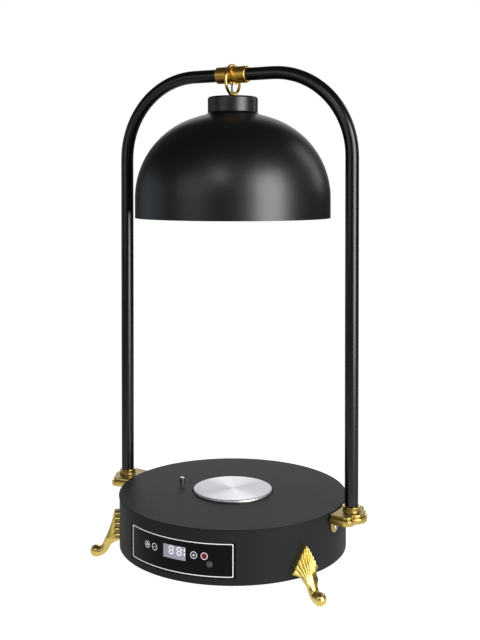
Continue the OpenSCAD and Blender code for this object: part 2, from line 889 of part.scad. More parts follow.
module foot_skin() {
    n = 2 * (foot_samples + 1);
    last = len(foot_loops) - 1;
    pole = len(foot_loops) * n;
    points = concat([for (one = foot_loops) for (p = one) p], [leg_point(0, -ball_r, 0, 0)]);
    polyhedron(
        points = points,
        faces = concat(
            [for (j = [0 : n - 1]) [pole, j, (j + 1) % n]],
            [for (i = [0 : last - 1], j = [0 : n - 1])
                [i * n + (j + 1) % n, i * n + j, (i + 1) * n + j]],
            [for (i = [0 : last - 1], j = [0 : n - 1])
                [i * n + (j + 1) % n, (i + 1) * n + j, (i + 1) * n + (j + 1) % n]],
            [for (j = [0 : foot_samples - 1]) [last * n + j + 1, last * n + j, last * n + n - 1 - j]],
            [for (j = [0 : foot_samples - 1]) [last * n + j + 1, last * n + n - 1 - j, last * n + n - 2 - j]]));
}

foot_screw_z = [14, 29];
foot_screw_in = 6;

module at_foot_screws() {
    for (a = FOOT_ANGLES, z = foot_screw_z)
        radial(a, wall_r, z_bot + z)
            children();
}

module foot(angle) {
    color(GOLD)
        difference() {
            rotate([0, 0, angle]) foot_skin();
            for (z = foot_screw_z)
                radial(angle, wall_r - cut, z_bot + z)
                    cylinder(d = m4 + 2 * fit, h = foot_screw_in + cut + seat);
            rotate([0, 0, angle])
                translate([ball_at[0] - ball_d, -ball_d, -ball_d])
                    cube([2 * ball_d, 2 * ball_d, ball_d]);
        }
}

module foot_left() {
    foot(FOOT_ANGLES[0]);
}

module foot_right() {
    foot(FOOT_ANGLES[1]);
}

module foot_rear() {
    foot(FOOT_ANGLES[2]);
}

module foot_screws() {
    drop = wall_r - inside_flat(wall_in, m4_head / 2) + seat;
    color(STEEL)
        at_foot_screws()
            translate([0, 0, -drop])
                rotate([180, 0, 0])
                    pan_screw(m4, m4_head, drop + foot_screw_in - 0.5);
}

// Post brackets

// The bracket's outline seen from above, set in from the lower tier's edge
module bracket_outline(inset) {
    far_w = bracket_half_w - inset;
    near_w = far_w - bracket_taper;
    difference() {
        union() {
            polygon([
                [wall_in, -near_w], [corner_x, -far_w], [corner_x, far_w], [wall_in, near_w]]);
            for (s = [-1, 1])
                translate([corner_x, s * (bracket_half_w - corner_r)]) circle(r = corner_r - inset);
            translate([lobe_x, 0]) circle(r = lobe_r - inset);
        }
        circle(r = base_r + bracket_gap);
    }
}

// An ear's outline, upright, with a round lower end
module ear_outline() {
    translate([-ear_w / 2, -ear_drop + ear_w / 2]) square([ear_w, ear_drop]);
    translate([0, -ear_drop + ear_w / 2]) circle(d = ear_w);
}

module bracket() {
    difference() {
        union() {
            translate([0, 0, z_tier]) linear_extrude(tier_h) bracket_outline(0);
            translate([0, 0, z_tier + tier_h])
                linear_extrude(groove_h)
                    bracket_outline(bead_inset + groove_depth);
            translate([0, 0, z_bracket - bead_h]) linear_extrude(bead_h) bracket_outline(bead_inset);
            translate([post_x, 0, z_bracket]) {
                cylinder(r = boss_r, h = boss_h);
                translate([0, 0, boss_h - lip_h]) cylinder(r1 = boss_r, r2 = boss_r + lip_out, h = lip_h);
            }
            intersection() {
                for (s = [-1, 1])
                    translate([wall_in, s * ear_y, z_tier])
                        rotate([90, 0, 90])
                            linear_extrude(post_x - wall_in)
                                ear_outline();
                ring(wall_r + seat + ear_t, wall_r + seat, z_tier - ear_drop - cut, z_tier + tier_h / 2);
            }
        }
        translate([post_x, 0, z_tube]) cylinder(r = tube_r + fit, h = bracket_t + boss_h + cut);
        for (s = [-1, 1])
            translate([wall_in, s * ear_y, z_ear_screw])
                rotate([0, 90, 0])
                    cylinder(d = m4 + hole_play, h = ear_t + 10);
        translate([post_x, 0, z_grub]) rotate([-90, 0, 0]) cylinder(d = grub_d, h = boss_r + 2);
    }
}

module bracket_right() {
    color(BRASS)
        difference() {
            bracket();
            lead_channel();
        }
}

module bracket_left() {
    color(BRASS)
        mirror([1, 0, 0])
            bracket();
}

module at_bracket_screws() {
    for (sx = [-1, 1], sy = [-1, 1])
        rotate([0, 0, sx > 0 ? 0 : 180])
            translate([wall_r, sy * ear_y, z_ear_screw])
                rotate([0, 90, 0])
                    children();
}

ear_face = sqrt(pow(wall_r + seat + ear_t, 2) - pow(ear_y - m4_head / 2, 2)) - wall_r;
nut_face = inside_flat(wall_in, ear_y + m4_nut / 2) - wall_r;

module bracket_screws() {
    color(STEEL)
        at_bracket_screws()
            translate([0, 0, ear_face])
                pan_screw(m4, m4_head, ear_face - nut_face + nut_h + 1);
}

module bracket_nuts() {
    color(STEEL)
        at_bracket_screws()
            translate([0, 0, nut_face - nut_h])
                hex_nut(m4_nut, m4, nut_h);
}

module tube_grub_screws() {
    color(STEEL)
        for (sx = [-1, 1])
            translate([sx * post_x, tube_r + seat, z_grub])
                rotate([-90, 0, 0])
                    cylinder(d = grub_d - 2 * fit, h = boss_wall - 2 * seat);
}

// Arch tube and collar

module arch_rod(r, z0) {
    for (side_x = [0, 1])
        mirror([side_x, 0, 0]) {
            translate([post_x, 0, z0]) cylinder(r = r, h = bend_z - z0);
            translate([bend_x, 0, bend_z])
                rotate([90, 0, 0])
                    rotate_extrude(angle = 90)
                        translate([bend_r, 0])
                            circle(r = r);
        }
    translate([-bend_x, 0, arch_h])
        rotate([0, 90, 0])
            cylinder(r = r, h = 2 * bend_x);
}

module arch_tube() {
    color(GLOSS)
        difference() {
            arch_rod(tube_r, z_tube + seat);
            arch_rod(tube_r - tube_t, z_tube - cut);
            translate([0, 0, arch_h - tube_r - cut]) cylinder(r = eyelet_r + fit, h = tube_r);
            lead_channel();
        }
}

module collar() {
    h = collar_l / 2;
    g = groove_w / 2;
    low = collar_r - collar_groove;
    edge = collar_r - collar_chamfer;
    color(BRASS)
        difference() {
            translate([0, 0, arch_h])
                rotate([0, 90, 0])
                    rotate_extrude()
                        polygon([
                            [tube_r + fit, -h], [edge, -h], [collar_r, -h + collar_chamfer], [collar_r, -g],
                            [low, -g], [low, g], [collar_r, g], [collar_r, h - collar_chamfer], [edge, h],
                            [tube_r + fit, h]]);
            translate([0, 0, arch_h - collar_r - cut]) cylinder(r = eyelet_r + fit, h = collar_r);
        }
}

module lead_eyelet() {
    color(GOLD)
        difference() {
            union() {
                translate([0, 0, z_eyelet]) cylinder(r = eyelet_flange_r, h = eyelet_flange_t);
                translate([0, 0, z_eyelet])
                    cylinder(r = eyelet_r, h = collar_r - tube_r + tube_t + 2 * eyelet_flange_t);
            }
            translate([0, 0, z_eyelet - cut]) cylinder(r = eyelet_r - 1, h = collar_r);
        }
}

// Lamp lead in the arch
// Its way lies in the plane of the arch: through the eyelet, along the tube, down the right post, into the drum.

function arc(cx, cz, r, a0, a1, n) = [
    for (i = [0 : n]) [cx + r * cos(mix(a0, a1, i / n)), cz + r * sin(mix(a0, a1, i / n))]];

lead_way = concat(
    [[flex_top_x, z_eyelet]],
    arc(flex_top_x + lead_turn_in, arch_h - lead_turn_in, lead_turn_in, 180, 90, 4),
    arc(bend_x, bend_z, bend_r, 90, 0, 12),
    arc(post_x - lead_turn_in, z_channel + lead_turn_in, lead_turn_in, 0, -90, 4),
    arc(terminal_x + lead_turn, z_channel - lead_turn, lead_turn, 90, 180, 5),
    [[terminal_x, z_power + board_t + terminal_h / 2 + seat]]);
lead_sides = 8;

function lead_dir(i) =
    let (last = len(lead_way) - 1)
    let (d = lead_way[min(i + 1, last)] - lead_way[max(i - 1, 0)])
        d / norm(d);
lead_rings = [
    for (i = [0 : len(lead_way) - 1])
        let (d = lead_dir(i))
            [for (k = [0 : lead_sides - 1])
                let (a = k * 360 / lead_sides)
                let (p = lead_way[i] + lead_d / 2 * cos(a) * [-d[1], d[0]])
                    [p[0], -lead_d / 2 * sin(a), p[1]]]];

module tube_lead() {
    color(STEEL)
        skin(lead_rings);
}

// The free stretch between the eyelet and the cap, which bends as the lamp swings
flex_steps = 8;
function ease(u) = u * u * (3 - 2 * u);
flex_rings = [
    for (i = [0 : flex_steps])
        let (u = i / flex_steps)
            [for (k = [0 : lead_sides - 1])
                let (a = k * 360 / lead_sides)
                    [mix(flex_top_x, flex_x, ease(u)) + lead_d / 2 * cos(a),
                     mix(0, flex_y, ease(u)) + lead_d / 2 * sin(a),
                     mix(z_eyelet, z_cap_top, u)]]];

module lamp_flex() {
    color(STEEL)
        skin(flex_rings);
}

module lead_tail() {
    color(STEEL)
        translate([flex_x, flex_y, z_holder_cap - holder_cap_t - 4])
            cylinder(d = lead_d, h = cap_t + holder_cap_t + 4);
}

// Hanging ring and eye

module hanging_ring() {
    color(GOLD)
        translate([0, 0, ring_z])
            rotate([0, 90, 0])
                rotate_extrude()
                    translate([ring_r, 0])
                        circle(d = ring_wire);
}

module cap_eye() {
    z_end = z_cap_top - leg_below;
    color(GOLD)
        union() {
            translate([0, 0, eye_z])
                rotate([90, 0, 0])
                    rotate_extrude(angle = 180)
                        translate([eye_r, 0])
                            circle(d = eye_wire);
            for (s = [-1, 1])
                translate([s * eye_r, 0, z_end])
                    cylinder(d = eye_wire, h = eye_z - z_end);
        }
}

module at_eye_legs() {
    for (s = [-1, 1])
        translate([s * eye_r, 0, 0])
            children();
}

module eye_nuts() {
    color(STEEL)
        at_eye_legs()
            translate([0, 0, z_holder_cap - holder_cap_t - eye_nut_h])
                hex_nut(eye_nut, eye_wire, eye_nut_h);
}

// The holes through which the eye's legs and the lead pass
module cap_holes(z0, z1) {
    at_eye_legs() translate([0, 0, z0]) cylinder(r = eye_wire / 2 + fit, h = z1 - z0);
    translate([flex_x, flex_y, z0]) cylinder(r = lead_d / 2 + fit, h = z1 - z0);
}

// Lamp cap and shade

// The flare's middle is as far from the neck as from the dome, so that it is tangent to both
flare_x = cap_r - neck_in + neck_flare;
flare_z = crown_z + sqrt(pow(crown_r + neck_flare, 2) - pow(flare_x, 2));
flare_end = flare_x * crown_r / (crown_r + neck_flare);

module neck_half() {
    difference() {
        translate([0, z_cap - neck_h]) square([flare_end, 2 * neck_h + cut]);
        translate([flare_x, flare_z]) circle(r = neck_flare, $fn = fine);
    }
}

module lamp_cap() {
    inner = cap_r - neck_in - cap_t;
    color(BLACK)
        difference() {
            rotate_extrude()
                difference() {
                    union() {
                        neck_half();
                        translate([0, z_cap + neck_h]) square([cap_r - cap_edge_r, cap_h - neck_h]);
                        translate([0, z_cap + neck_h]) square([cap_r, cap_h - neck_h - cap_edge_r]);
                        translate([cap_r - cap_edge_r, z_cap_top - cap_edge_r]) circle(r = cap_edge_r);
                    }
                    translate([0, z_cap - cut]) square([inner, cap_h - cap_t + cut]);
                    translate([0, crown_z]) circle(r = crown_r + seat, $fn = fine);
                }
            cap_holes(z_cap_top - cap_t - cut, z_cap_top + cut);
        }
}

// Half the dome's section, with every surface set in: skirt, shoulder arc and crown arc are tangent
module dome_half(inset) {
    intersection() {
        union() {
            translate([0, rim_z - cut]) square([shade_r - inset, skirt_h + cut]);
            translate([shoulder_x, shoulder_z]) circle(r = shoulder_r - inset, $fn = fine);
            translate([0, rim_z]) square([joint_x, joint_z - inset - rim_z]);
            intersection() {
                translate([0, crown_z]) circle(r = crown_r - inset, $fn = fine);
                translate([0, joint_z - inset]) square([joint_x, crown_r]);
            }
        }
        translate([0, rim_z - (inset > 0 ? cut : 0)]) square([shade_r, 2 * shade_r]);
    }
}

module shade() {
    color(BLACK)
        rotate_extrude()
            difference() {
                dome_half(0);
                dome_half(shade_t);
                translate([0, z_crown - holder_l]) square([holder_r + fit, 2 * holder_l]);
            }
}

// Lamp holder

module holder_cap() {
    r_in = holder_r + fit;
    r_out = holder_r + holder_cap_wall;
    color(GLOSS)
        difference() {
            rotate_extrude()
                difference() {
                    union() {
                        translate([0, z_cap]) square([r_out, z_holder_cap - z_cap]);
                        translate([0, z_cap]) square([r_out + holder_flange, z_crown + holder_flange_t - z_cap]);
                    }
                    translate([0, z_cap - cut])
                        square([r_in, z_holder_cap - holder_cap_t - z_cap + cut]);
                    translate([0, crown_z]) circle(r = crown_r + seat, $fn = fine);
                }
            cap_holes(z_holder_cap - holder_cap_t - cut, z_holder_cap + cut);
        }
}

module holder_body() {
    color(WHITE)
        difference() {
            translate([0, 0, z_holder]) cylinder(r = holder_r, h = holder_top - z_holder);
            translate([0, 0, z_holder - cut]) cylinder(r = thread_r, h = thread_depth + cut);
        }
}

module holder_ring() {
    z1 = z_crown - shade_t;
    color(GLOSS)
        rotate_extrude()
            difference() {
                intersection() {
                    translate([holder_r + fit, z1 - holder_ring_h])
                        square([holder_ring_r - holder_r - fit, holder_ring_h]);
                    translate([0, crown_z]) circle(r = crown_r - shade_t - seat, $fn = fine);
                }
                translate([0, z1 - holder_ring_h - cut]) square([holder_r + fit, holder_ring_h]);
            }
}

// Reflector bulb

// Half the bulb's section, set in by the thickness of its glass
module bulb_half(inset) {
    z_face = z_neck - bulb_l;
    z_band = z_face + face_drop + band_h;
    intersection() {
        polygon([
            [0, z_neck + inset], [neck_r - inset, z_neck + inset], [neck_r - inset, z_neck - neck_l],
            [bulb_r - inset, z_band], [bulb_r - inset, z_face], [0, z_face]]);
        translate([0, z_face + face_r]) circle(r = face_r - inset, $fn = fine);
    }
}

module bulb_glass() {
    color(GLASS)
        rotate_extrude()
            difference() {
                bulb_half(0);
                bulb_half(glass_t);
            }
}

module bulb_base() {
    r = thread_r - thread_play;
    color(STEEL)
        translate([0, 0, z_neck])
            rotate_extrude()
                polygon([
                    [r - base_wall_t, 0], [r, 0], [r, base_l - 4], [tip_r + 2, base_l], [tip_r, base_l],
                    [tip_r, base_l + tip_h], [0, base_l + tip_h], [0, base_l - 2], [tip_r, base_l - 2],
                    [r - base_wall_t, base_l - 5]]);
}

base_top();
base_wall();
bottom_cover();
cover_screws();
heating_disc();
insulation_ring();
heater_element();
heater_clamp();
heater_nut();
thermal_cutout();
probe_pin();
probe_bush();
probe_clip();
probe_spring();
probe_guide();
control_panel();
panel_carrier();
display_module();
control_board();
board_screws();
power_board();
transformer();
terminal_block();
cord_gland();
gland_nut();
foot_left();
foot_right();
foot_rear();
foot_screws();
bracket_left();
bracket_right();
bracket_screws();
bracket_nuts();
tube_grub_screws();
arch_tube();
collar();
lead_eyelet();
tube_lead();
lamp_flex();
hanging_ring();
cap_eye();
eye_nuts();
lamp_cap();
lead_tail();
shade();
holder_cap();
holder_body();
holder_ring();
bulb_glass();
bulb_base();
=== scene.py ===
"""Food heat lamp: fine surfaces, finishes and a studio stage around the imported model.

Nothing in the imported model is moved. Smooth pieces keep their own mesh and get a finish. Cast, pressed and
printed pieces are worked out here as grids of points, in millimetres.
"""

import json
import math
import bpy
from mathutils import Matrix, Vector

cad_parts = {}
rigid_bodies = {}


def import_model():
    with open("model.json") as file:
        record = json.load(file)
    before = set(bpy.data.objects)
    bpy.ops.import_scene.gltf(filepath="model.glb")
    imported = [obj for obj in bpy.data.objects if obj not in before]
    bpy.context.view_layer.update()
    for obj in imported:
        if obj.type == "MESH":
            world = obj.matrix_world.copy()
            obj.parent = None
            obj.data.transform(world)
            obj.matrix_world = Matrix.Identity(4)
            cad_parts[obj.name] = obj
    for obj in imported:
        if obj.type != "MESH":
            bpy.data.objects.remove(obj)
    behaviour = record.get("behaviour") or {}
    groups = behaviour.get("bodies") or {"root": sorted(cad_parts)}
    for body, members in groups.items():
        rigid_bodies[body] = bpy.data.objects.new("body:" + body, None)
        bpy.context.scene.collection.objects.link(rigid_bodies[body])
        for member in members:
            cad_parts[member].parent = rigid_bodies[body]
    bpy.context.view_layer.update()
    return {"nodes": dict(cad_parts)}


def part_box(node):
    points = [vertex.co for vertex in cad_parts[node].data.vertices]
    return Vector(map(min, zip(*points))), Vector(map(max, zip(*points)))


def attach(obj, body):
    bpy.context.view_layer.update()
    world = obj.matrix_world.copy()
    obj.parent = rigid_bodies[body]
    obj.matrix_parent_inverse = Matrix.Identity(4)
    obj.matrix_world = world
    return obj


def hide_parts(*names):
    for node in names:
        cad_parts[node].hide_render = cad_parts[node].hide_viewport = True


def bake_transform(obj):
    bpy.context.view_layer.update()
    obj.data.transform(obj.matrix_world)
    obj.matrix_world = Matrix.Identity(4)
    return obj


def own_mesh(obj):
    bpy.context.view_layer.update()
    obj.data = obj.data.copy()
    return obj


bl_info = {
    "name": "Food Heat Lamp",
    "version": (1, 0, 0),
    "blender": (4, 5, 0),
    "location": "3D View > Sidebar > Heat Lamp",
    "description": "Dresses a packed food heat lamp with fine surfaces, finishes and a studio stage",
    "category": "Object",
}

from math import cos, pi, radians, sin
from types import SimpleNamespace as Sizes

import bmesh
import bpy
import numpy as np
from bpy.props import FloatProperty, FloatVectorProperty, IntProperty, PointerProperty

for start_object in list(bpy.data.objects):
    bpy.data.objects.remove(start_object)
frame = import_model()
MM = 0.001
SEAM = 2e-7
SLIVER = 1e-7


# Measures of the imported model, in millimetres

def corners(node):
    """Lowest and highest corner of a CAD node."""
    return np.array(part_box(node)) / MM


TUBE_R = 8.5
TUBE_SEAT = 2.6
BRACKET_H = 11
SEAT_GAP = 0.1
WALL_R = corners("base_wall")[1, 0]
BASE_R = corners("base_top")[1, 0]
Z_BOTTOM = corners("base_wall")[0, 2]
FILM_R = -corners("control_panel")[0, 1]
POST_X = corners("arch_tube")[1, 0] - TUBE_R
Z_BRACKET_LOW = corners("arch_tube")[0, 2] - TUBE_SEAT
Z_BRACKET = Z_BRACKET_LOW + BRACKET_H
FOOT_ANGLES = {"foot_left": -152.5, "foot_right": -27.5, "foot_rear": 90}


# Grids of points and meshes

def mix(a, b, f):
    """The point or number a share f of the way from a to b."""
    return a + (b - a) * f


def smooth_step(x, x0, x1):
    """Runs from 0 at x0 to 1 at x1, level at both ends."""
    t = np.clip((x - x0) / (x1 - x0), 0, 1)
    return t * t * (3 - 2 * t)


def round_angles(count):
    """Angles evenly round a full turn."""
    return np.linspace(0, 2 * pi, count, endpoint=False)


def on_circle(centre, radius, angles):
    """Points of a circle at those angles: the centre plus the radius times cosine and sine."""
    return radius * np.stack([np.cos(angles), np.sin(angles)], -1) + centre


def at_height(points, z):
    """Points of (x, y), all at one height."""
    return np.concatenate([points, np.full(points.shape[:-1] + (1,), z)], -1)


def grid_quads(rows, cols, close_rows, close_cols):
    """Corner numbers of the quads between neighbours of a grid, joined round where it is closed."""
    r, c = np.mgrid[: rows - (not close_rows), : cols - (not close_cols)].reshape(2, -1)
    r1, c1 = (r + 1) % rows, (c + 1) % cols
    return np.stack([r * cols + c, r1 * cols + c, r1 * cols + c1, r * cols + c1], 1)


class Patch:
    """A grid of points, rows by columns by three, and how bright the metal is at each of them: rubbing on the
    brackets, painted shade in the flutes of the feet.
    """

    def __init__(self, points, close_rows=False, close_cols=False, polish=1.0):
        self.points = np.asarray(points, float)
        self.shape = self.points.shape[:2]
        self.closed = (close_rows, close_cols)
        self.polish = np.broadcast_to(polish, self.shape)


FINISHES = {}


def make_piece(name, patches, finish, replaces=(), crease=38, body="base"):
    """Joins patches into one mesh in metres, merges seams, turns faces outwards and shades it smooth."""
    points = np.concatenate([p.points.reshape(-1, 3) for p in patches]) * MM
    polish = np.concatenate([p.polish.ravel() for p in patches])
    starts = np.cumsum([0] + [p.polish.size for p in patches[:-1]])
    quads = np.concatenate([grid_quads(*p.shape, *p.closed) + s for p, s in zip(patches, starts)])
    mesh = bpy.data.meshes.new(name)
    mesh.from_pydata(points, [], quads)
    rubbed_and_shaded = mesh.attributes.new("polish", "FLOAT", "POINT")
    rubbed_and_shaded.data.foreach_set("value", polish.astype(np.float32))
    work = bmesh.new()
    work.from_mesh(mesh)
    bmesh.ops.remove_doubles(work, verts=work.verts, dist=SEAM)
    bmesh.ops.dissolve_degenerate(work, edges=work.edges, dist=SLIVER)
    bmesh.ops.recalc_face_normals(work, faces=work.faces)
    work.to_mesh(mesh)
    work.free()
    mesh.polygons.foreach_set("use_smooth", np.ones(len(mesh.polygons), bool))
    mesh.set_sharp_from_angle(angle=radians(crease))
    mesh.materials.append(FINISHES[finish])
    piece = bpy.data.objects.new(name, mesh)
    bpy.context.scene.collection.objects.link(piece)
    if body:
        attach(piece, body)
    if replaces:
        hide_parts(*replaces)
    return piece


def dress(finish, *nodes):
    """Gives CAD nodes a finish in place of their plain colour."""
    for name in nodes:
        slots = frame["nodes"][name].data.materials
        slots.clear()
        slots.append(FINISHES[finish])


def revolve(profile, sides, centre=(0.0, 0.0), polish=1.0):
    """Turns a profile of (radius, height) about an upright axis, by the angle's cosine and sine."""
    a = round_angles(sides)
    r, z = np.array(profile, float).T[..., None]
    x, y = centre[0] + r * np.cos(a), centre[1] + r * np.sin(a)
    points = np.stack([x, y, np.broadcast_to(z, x.shape)], 2)
    return Patch(points, close_cols=True, polish=np.reshape(polish, (-1, 1)))


def turn(points, degrees):
    """Turns points of (out, across, up) about the upright axis, so that out points to that angle."""
    c, s = cos(radians(degrees)), sin(radians(degrees))
    out, across, up = np.moveaxis(points, -1, 0)
    return np.stack([out * c - across * s, out * s + across * c, up], -1)


# Finishes

def set_inputs(tree, node, inputs):
    """Links a node's inputs from other nodes' results, or sets them to fixed values."""
    for key, value in inputs.items():
        if isinstance(value, bpy.types.NodeSocket):
            tree.links.new(value, node.inputs[key])
        else:
            node.inputs[key].default_value = value


def add_node(tree, kind, inputs=None, **settings):
    """A node with its settings and inputs."""
    node = tree.nodes.new("ShaderNode" + kind)
    for key, value in settings.items():
        setattr(node, key, value)
    set_inputs(tree, node, inputs or {})
    return node


def feed(tree, **sockets):
    """Sets or links the shader's sockets, named with underscores for spaces."""
    inputs = {name.replace("_", " "): value for name, value in sockets.items()}
    set_inputs(tree, tree.nodes["Principled BSDF"], inputs)


def blank_finish(name, **sockets):
    """A material with one Principled shader, and its node tree."""
    finish = bpy.data.materials.new(name)
    finish.use_nodes = True
    feed(finish.node_tree, **sockets)
    return finish, finish.node_tree


def maths(tree, operation, *values, **settings):
    """The result of a math node with those inputs."""
    return add_node(tree, "Math", dict(enumerate(values)), operation=operation, **settings).outputs[0]


def place(tree):
    """Object coordinates."""
    return add_node(tree, "TexCoord").outputs["Object"]


def noise(tree, scale, detail=2.0, stretch=(1, 1, 1)):
    """Noise of that many cells to the metre, stretched along the axes."""
    spread = add_node(tree, "Mapping", {"Vector": place(tree), "Scale": stretch})
    cells = {"Vector": spread.outputs[0], "Scale": scale, "Detail": detail}
    return add_node(tree, "TexNoise", cells).outputs["Fac"]


def blend_colour(tree, share, first, second, reach=(0.3, 0.7)):
    """A colour that runs from first to second as share crosses reach."""
    ramp = add_node(tree, "ValToRGB", {"Fac": share})
    for stop, position, colour in zip(ramp.color_ramp.elements, reach, (first, second)):
        stop.position, stop.color = position, colour
    return ramp.outputs["Color"]


def spread_value(tree, share, first, second, reach=(0.3, 0.7)):
    """A number that runs from first to second as share crosses reach."""
    ends = {"From Min": reach[0], "From Max": reach[1], "To Min": first, "To Max": second}
    return add_node(tree, "MapRange", {"Value": share, **ends}).outputs["Result"]


def surface(tree, colour, rough, height, depth):
    """Feeds colour and roughness, each as (share, first, second, reach), and a relief in metres."""
    bump = add_node(tree, "Bump", {"Height": height, "Distance": depth, "Strength": 1.0})
    feed(
        tree, Base_Color=blend_colour(tree, *colour), Roughness=spread_value(tree, *rough),
        Normal=bump.outputs["Normal"])


def shade_of(colour, factor):
    """A colour with its brightness changed by a factor."""
    return tuple(min(1.0, c * factor) for c in colour[:3]) + (1.0,)


def coat(name, colour, rough, grain=500, depth=2e-5, uneven=0.04, glow=0.0, **sockets):
    """Sprayed or moulded: its colour wanders slowly, and a fine grain lifts it and varies its gloss."""
    if glow:
        sockets.update(Emission_Color=colour, Emission_Strength=glow)
    finish, tree = blank_finish(name, **sockets)
    slow, fine = noise(tree, 14, 3), noise(tree, grain, 3)
    tones = (slow, shade_of(colour, 0.92), shade_of(colour, 1.08))
    surface(tree, tones, (fine, rough - uneven, rough + uneven), fine, depth)
    return finish


def rubbed_and_shaded_metal(name, bright, dull, smooth, rough, grain, depth):
    """Cast metal: bright where its attribute is high, with the second colour and rougher where it is low;
    that is patina in the brackets' hollows and painted shade in the feet's flute valleys.
    """
    finish, tree = blank_finish(name, Metallic=1.0)
    rubbed_and_shaded = add_node(tree, "Attribute", attribute_name="polish").outputs["Fac"]
    cloudy = maths(tree, "MULTIPLY_ADD", noise(tree, 60), 0.12, rubbed_and_shaded)
    reach = (0.2, 0.95)
    tones, gloss = (cloudy, dull, bright, reach), (cloudy, rough, smooth, reach)
    surface(tree, tones, gloss, noise(tree, grain, 3), depth)
    return finish


def drawn_metal(name, colour, rough, stretch, depth):
    """Drawn or turned metal: fine lines run along one axis, and gloss and colour follow them."""
    finish, tree = blank_finish(name, Metallic=1.0)
    lines = noise(tree, 400, 4, stretch)
    tones, gloss = (lines, shade_of(colour, 0.92), colour), (lines, rough + 0.03, rough - 0.03)
    surface(tree, tones, gloss, lines, depth)
    return finish


# Waves of painted highlight on a turned plate, wedges in its colour that stand in for its reflections: waves
# to a turn, start of the first in radians, height
PAINTED_SHEEN = ((6.0, 3.85, 0.17), (2.0, -0.11, 0.30), (1.0, -0.49, 0.12))


def turned_plate(name, colour, rough, pitch, depth, **sockets):
    """Turned plate: rings about its axis stretch highlights, and painted highlight wedges in its colour sum
    cosines of the angle.
    """
    finish, tree = blank_finish(name, Metallic=1.0, **sockets)
    where = place(tree)
    rings = add_node(
        tree, "TexWave", {"Vector": where, "Scale": pitch, "Distortion": 1.5, "Detail": 2.0},
        wave_type="RINGS", rings_direction="Z",
    ).outputs["Fac"]
    apart = add_node(tree, "SeparateXYZ", {0: where}).outputs
    angle = maths(tree, "ARCTAN2", apart["Y"], apart["X"])
    # Painted highlight: the colour brightens and darkens in wedges round the disc
    painted_sheen = 0.5
    for count, start, height in PAINTED_SHEEN:
        wave = maths(tree, "COSINE", maths(tree, "MULTIPLY_ADD", angle, count, start))
        painted_sheen = maths(tree, "MULTIPLY_ADD", wave, height, painted_sheen)
    rings_and_painted_sheen = maths(tree, "MULTIPLY_ADD", rings, 0.15, painted_sheen)
    feed(tree, Tangent=add_node(tree, "Tangent", direction_type="RADIAL", axis="Z").outputs[0])
    tones = (rings_and_painted_sheen, shade_of(colour, 0.70), colour, (0, 1))
    surface(tree, tones, (rings, rough - 0.04, rough + 0.04, (0, 1)), rings, depth)
    return finish


# Sizes and colours that a user would change

def colour_of(name, description, default):
    """A colour property."""
    return FloatVectorProperty(
        name=name, description=description, subtype="COLOR", size=4, min=0, max=1, default=default + (1.0,))


def number_of(name, description, default, unit="LENGTH", least=0.0):
    """A number property, in metres, watts, radians or the camera's millimetres."""
    return FloatProperty(
        name=name, description=description, default=default, unit=unit, min=least, precision=5)


class LampColours(bpy.types.PropertyGroup):
    """Colours of the finishes."""

    drum: colour_of("Drum", "Satin powder coat of the base", (0.0185, 0.0196, 0.0226))
    shade: colour_of("Shade", "Satin black enamel of the shade and its cap", (0.0014, 0.0014, 0.0017))
    tube: colour_of("Tube", "Semi-gloss black of the arch", (0.0016, 0.0016, 0.0018))
    brass: colour_of("Brass", "Bright edges of the cast brackets", (0.88, 0.66, 0.19))
    patina: colour_of("Patina", "Dull hollows of the cast brackets", (0.42, 0.32, 0.12))
    collar: colour_of("Collar", "Turned brass of the collar", (0.98, 0.57, 0.11))
    gold: colour_of("Gold", "Plating of the feet and the ring", (1.0, 0.77, 0.23))
    # Painted shade: the colour in the flute valleys of the feet
    gold_painted_shade: colour_of("Gold hollows", "Plating between the flutes", (0.34, 0.26, 0.035))
    alloy: colour_of("Alloy", "Turned face of the heating disc", (0.82, 0.83, 0.84))
    steel: colour_of("Steel", "Screws and the probe", (0.70, 0.70, 0.70))
    film: colour_of("Film", "Gloss black panel film", (0.003, 0.003, 0.0034))
    marks: colour_of("Print", "Pale print of the panel", (0.86, 0.88, 0.90))
    display: colour_of("Display", "Unlit face of the display", (0.40, 0.39, 0.47))
    digits: colour_of("Digits", "Segments of the display", (0.86, 0.86, 0.92))
    lead: colour_of("Lead", "Sheath of the lamp's lead", (0.26, 0.26, 0.27))


class LampSizes(bpy.types.PropertyGroup):
    """Sizes of the surfaces that are worked out here."""

    flute_count: IntProperty(
        name="Flutes", description="Flutes that fan out over a foot", default=11, min=5, max=21)
    flute_depth: number_of("Flute depth", "Depth of the flutes at the shell's edge", 0.0021)
    cape: number_of("Cape", "How far the fluted front stands over the leg", 0.0006)
    edge_round: number_of("Shell edge", "Rounding of the shell's edge", 0.0018)
    print_height: number_of("Print height", "How far the panel's print stands up", 0.0001)
    border_width: number_of("Border width", "Width of the panel's border line", 0.0011)
    ring_width: number_of("Key ring width", "Line width of the key rings", 0.0007)
    segment_width: number_of("Segment width", "Width of a digit's segments", 0.0011)


class LampStage(bpy.types.PropertyGroup):
    """Light, floor and camera."""

    floor_radius: number_of("Floor radius", "Radius at which the floor has faded out", 2.2)
    key: number_of("Key", "Strength of the wide softbox on the right", 22.5, "POWER")
    rim: number_of("Rim", "Strength of the narrow softbox behind on the right", 1.6, "POWER")
    fill: number_of("Fill", "Strength of the cool softbox far left", 1.3, "POWER")
    side: number_of("Side", "Strength of the weak softbox on the left", 2.4, "POWER")
    bounce: number_of("Bounce", "Strength of the small softbox over the camera", 1.9, "POWER")
    lens: number_of("Lens", "Focal length of the camera", 54.72, "CAMERA")
    distance: number_of("Distance", "Distance of the camera from the lamp's axis", 1.2825)
    height: number_of("Height", "Height of the camera above the floor", 0.4956)
    yaw: number_of("Yaw", "Direction of the camera round the lamp", radians(28.233), "ROTATION", -pi)
    tilt: number_of("Tilt", "How far the camera looks down", radians(1), "ROTATION", -pi)


# Finishes of the whole lamp

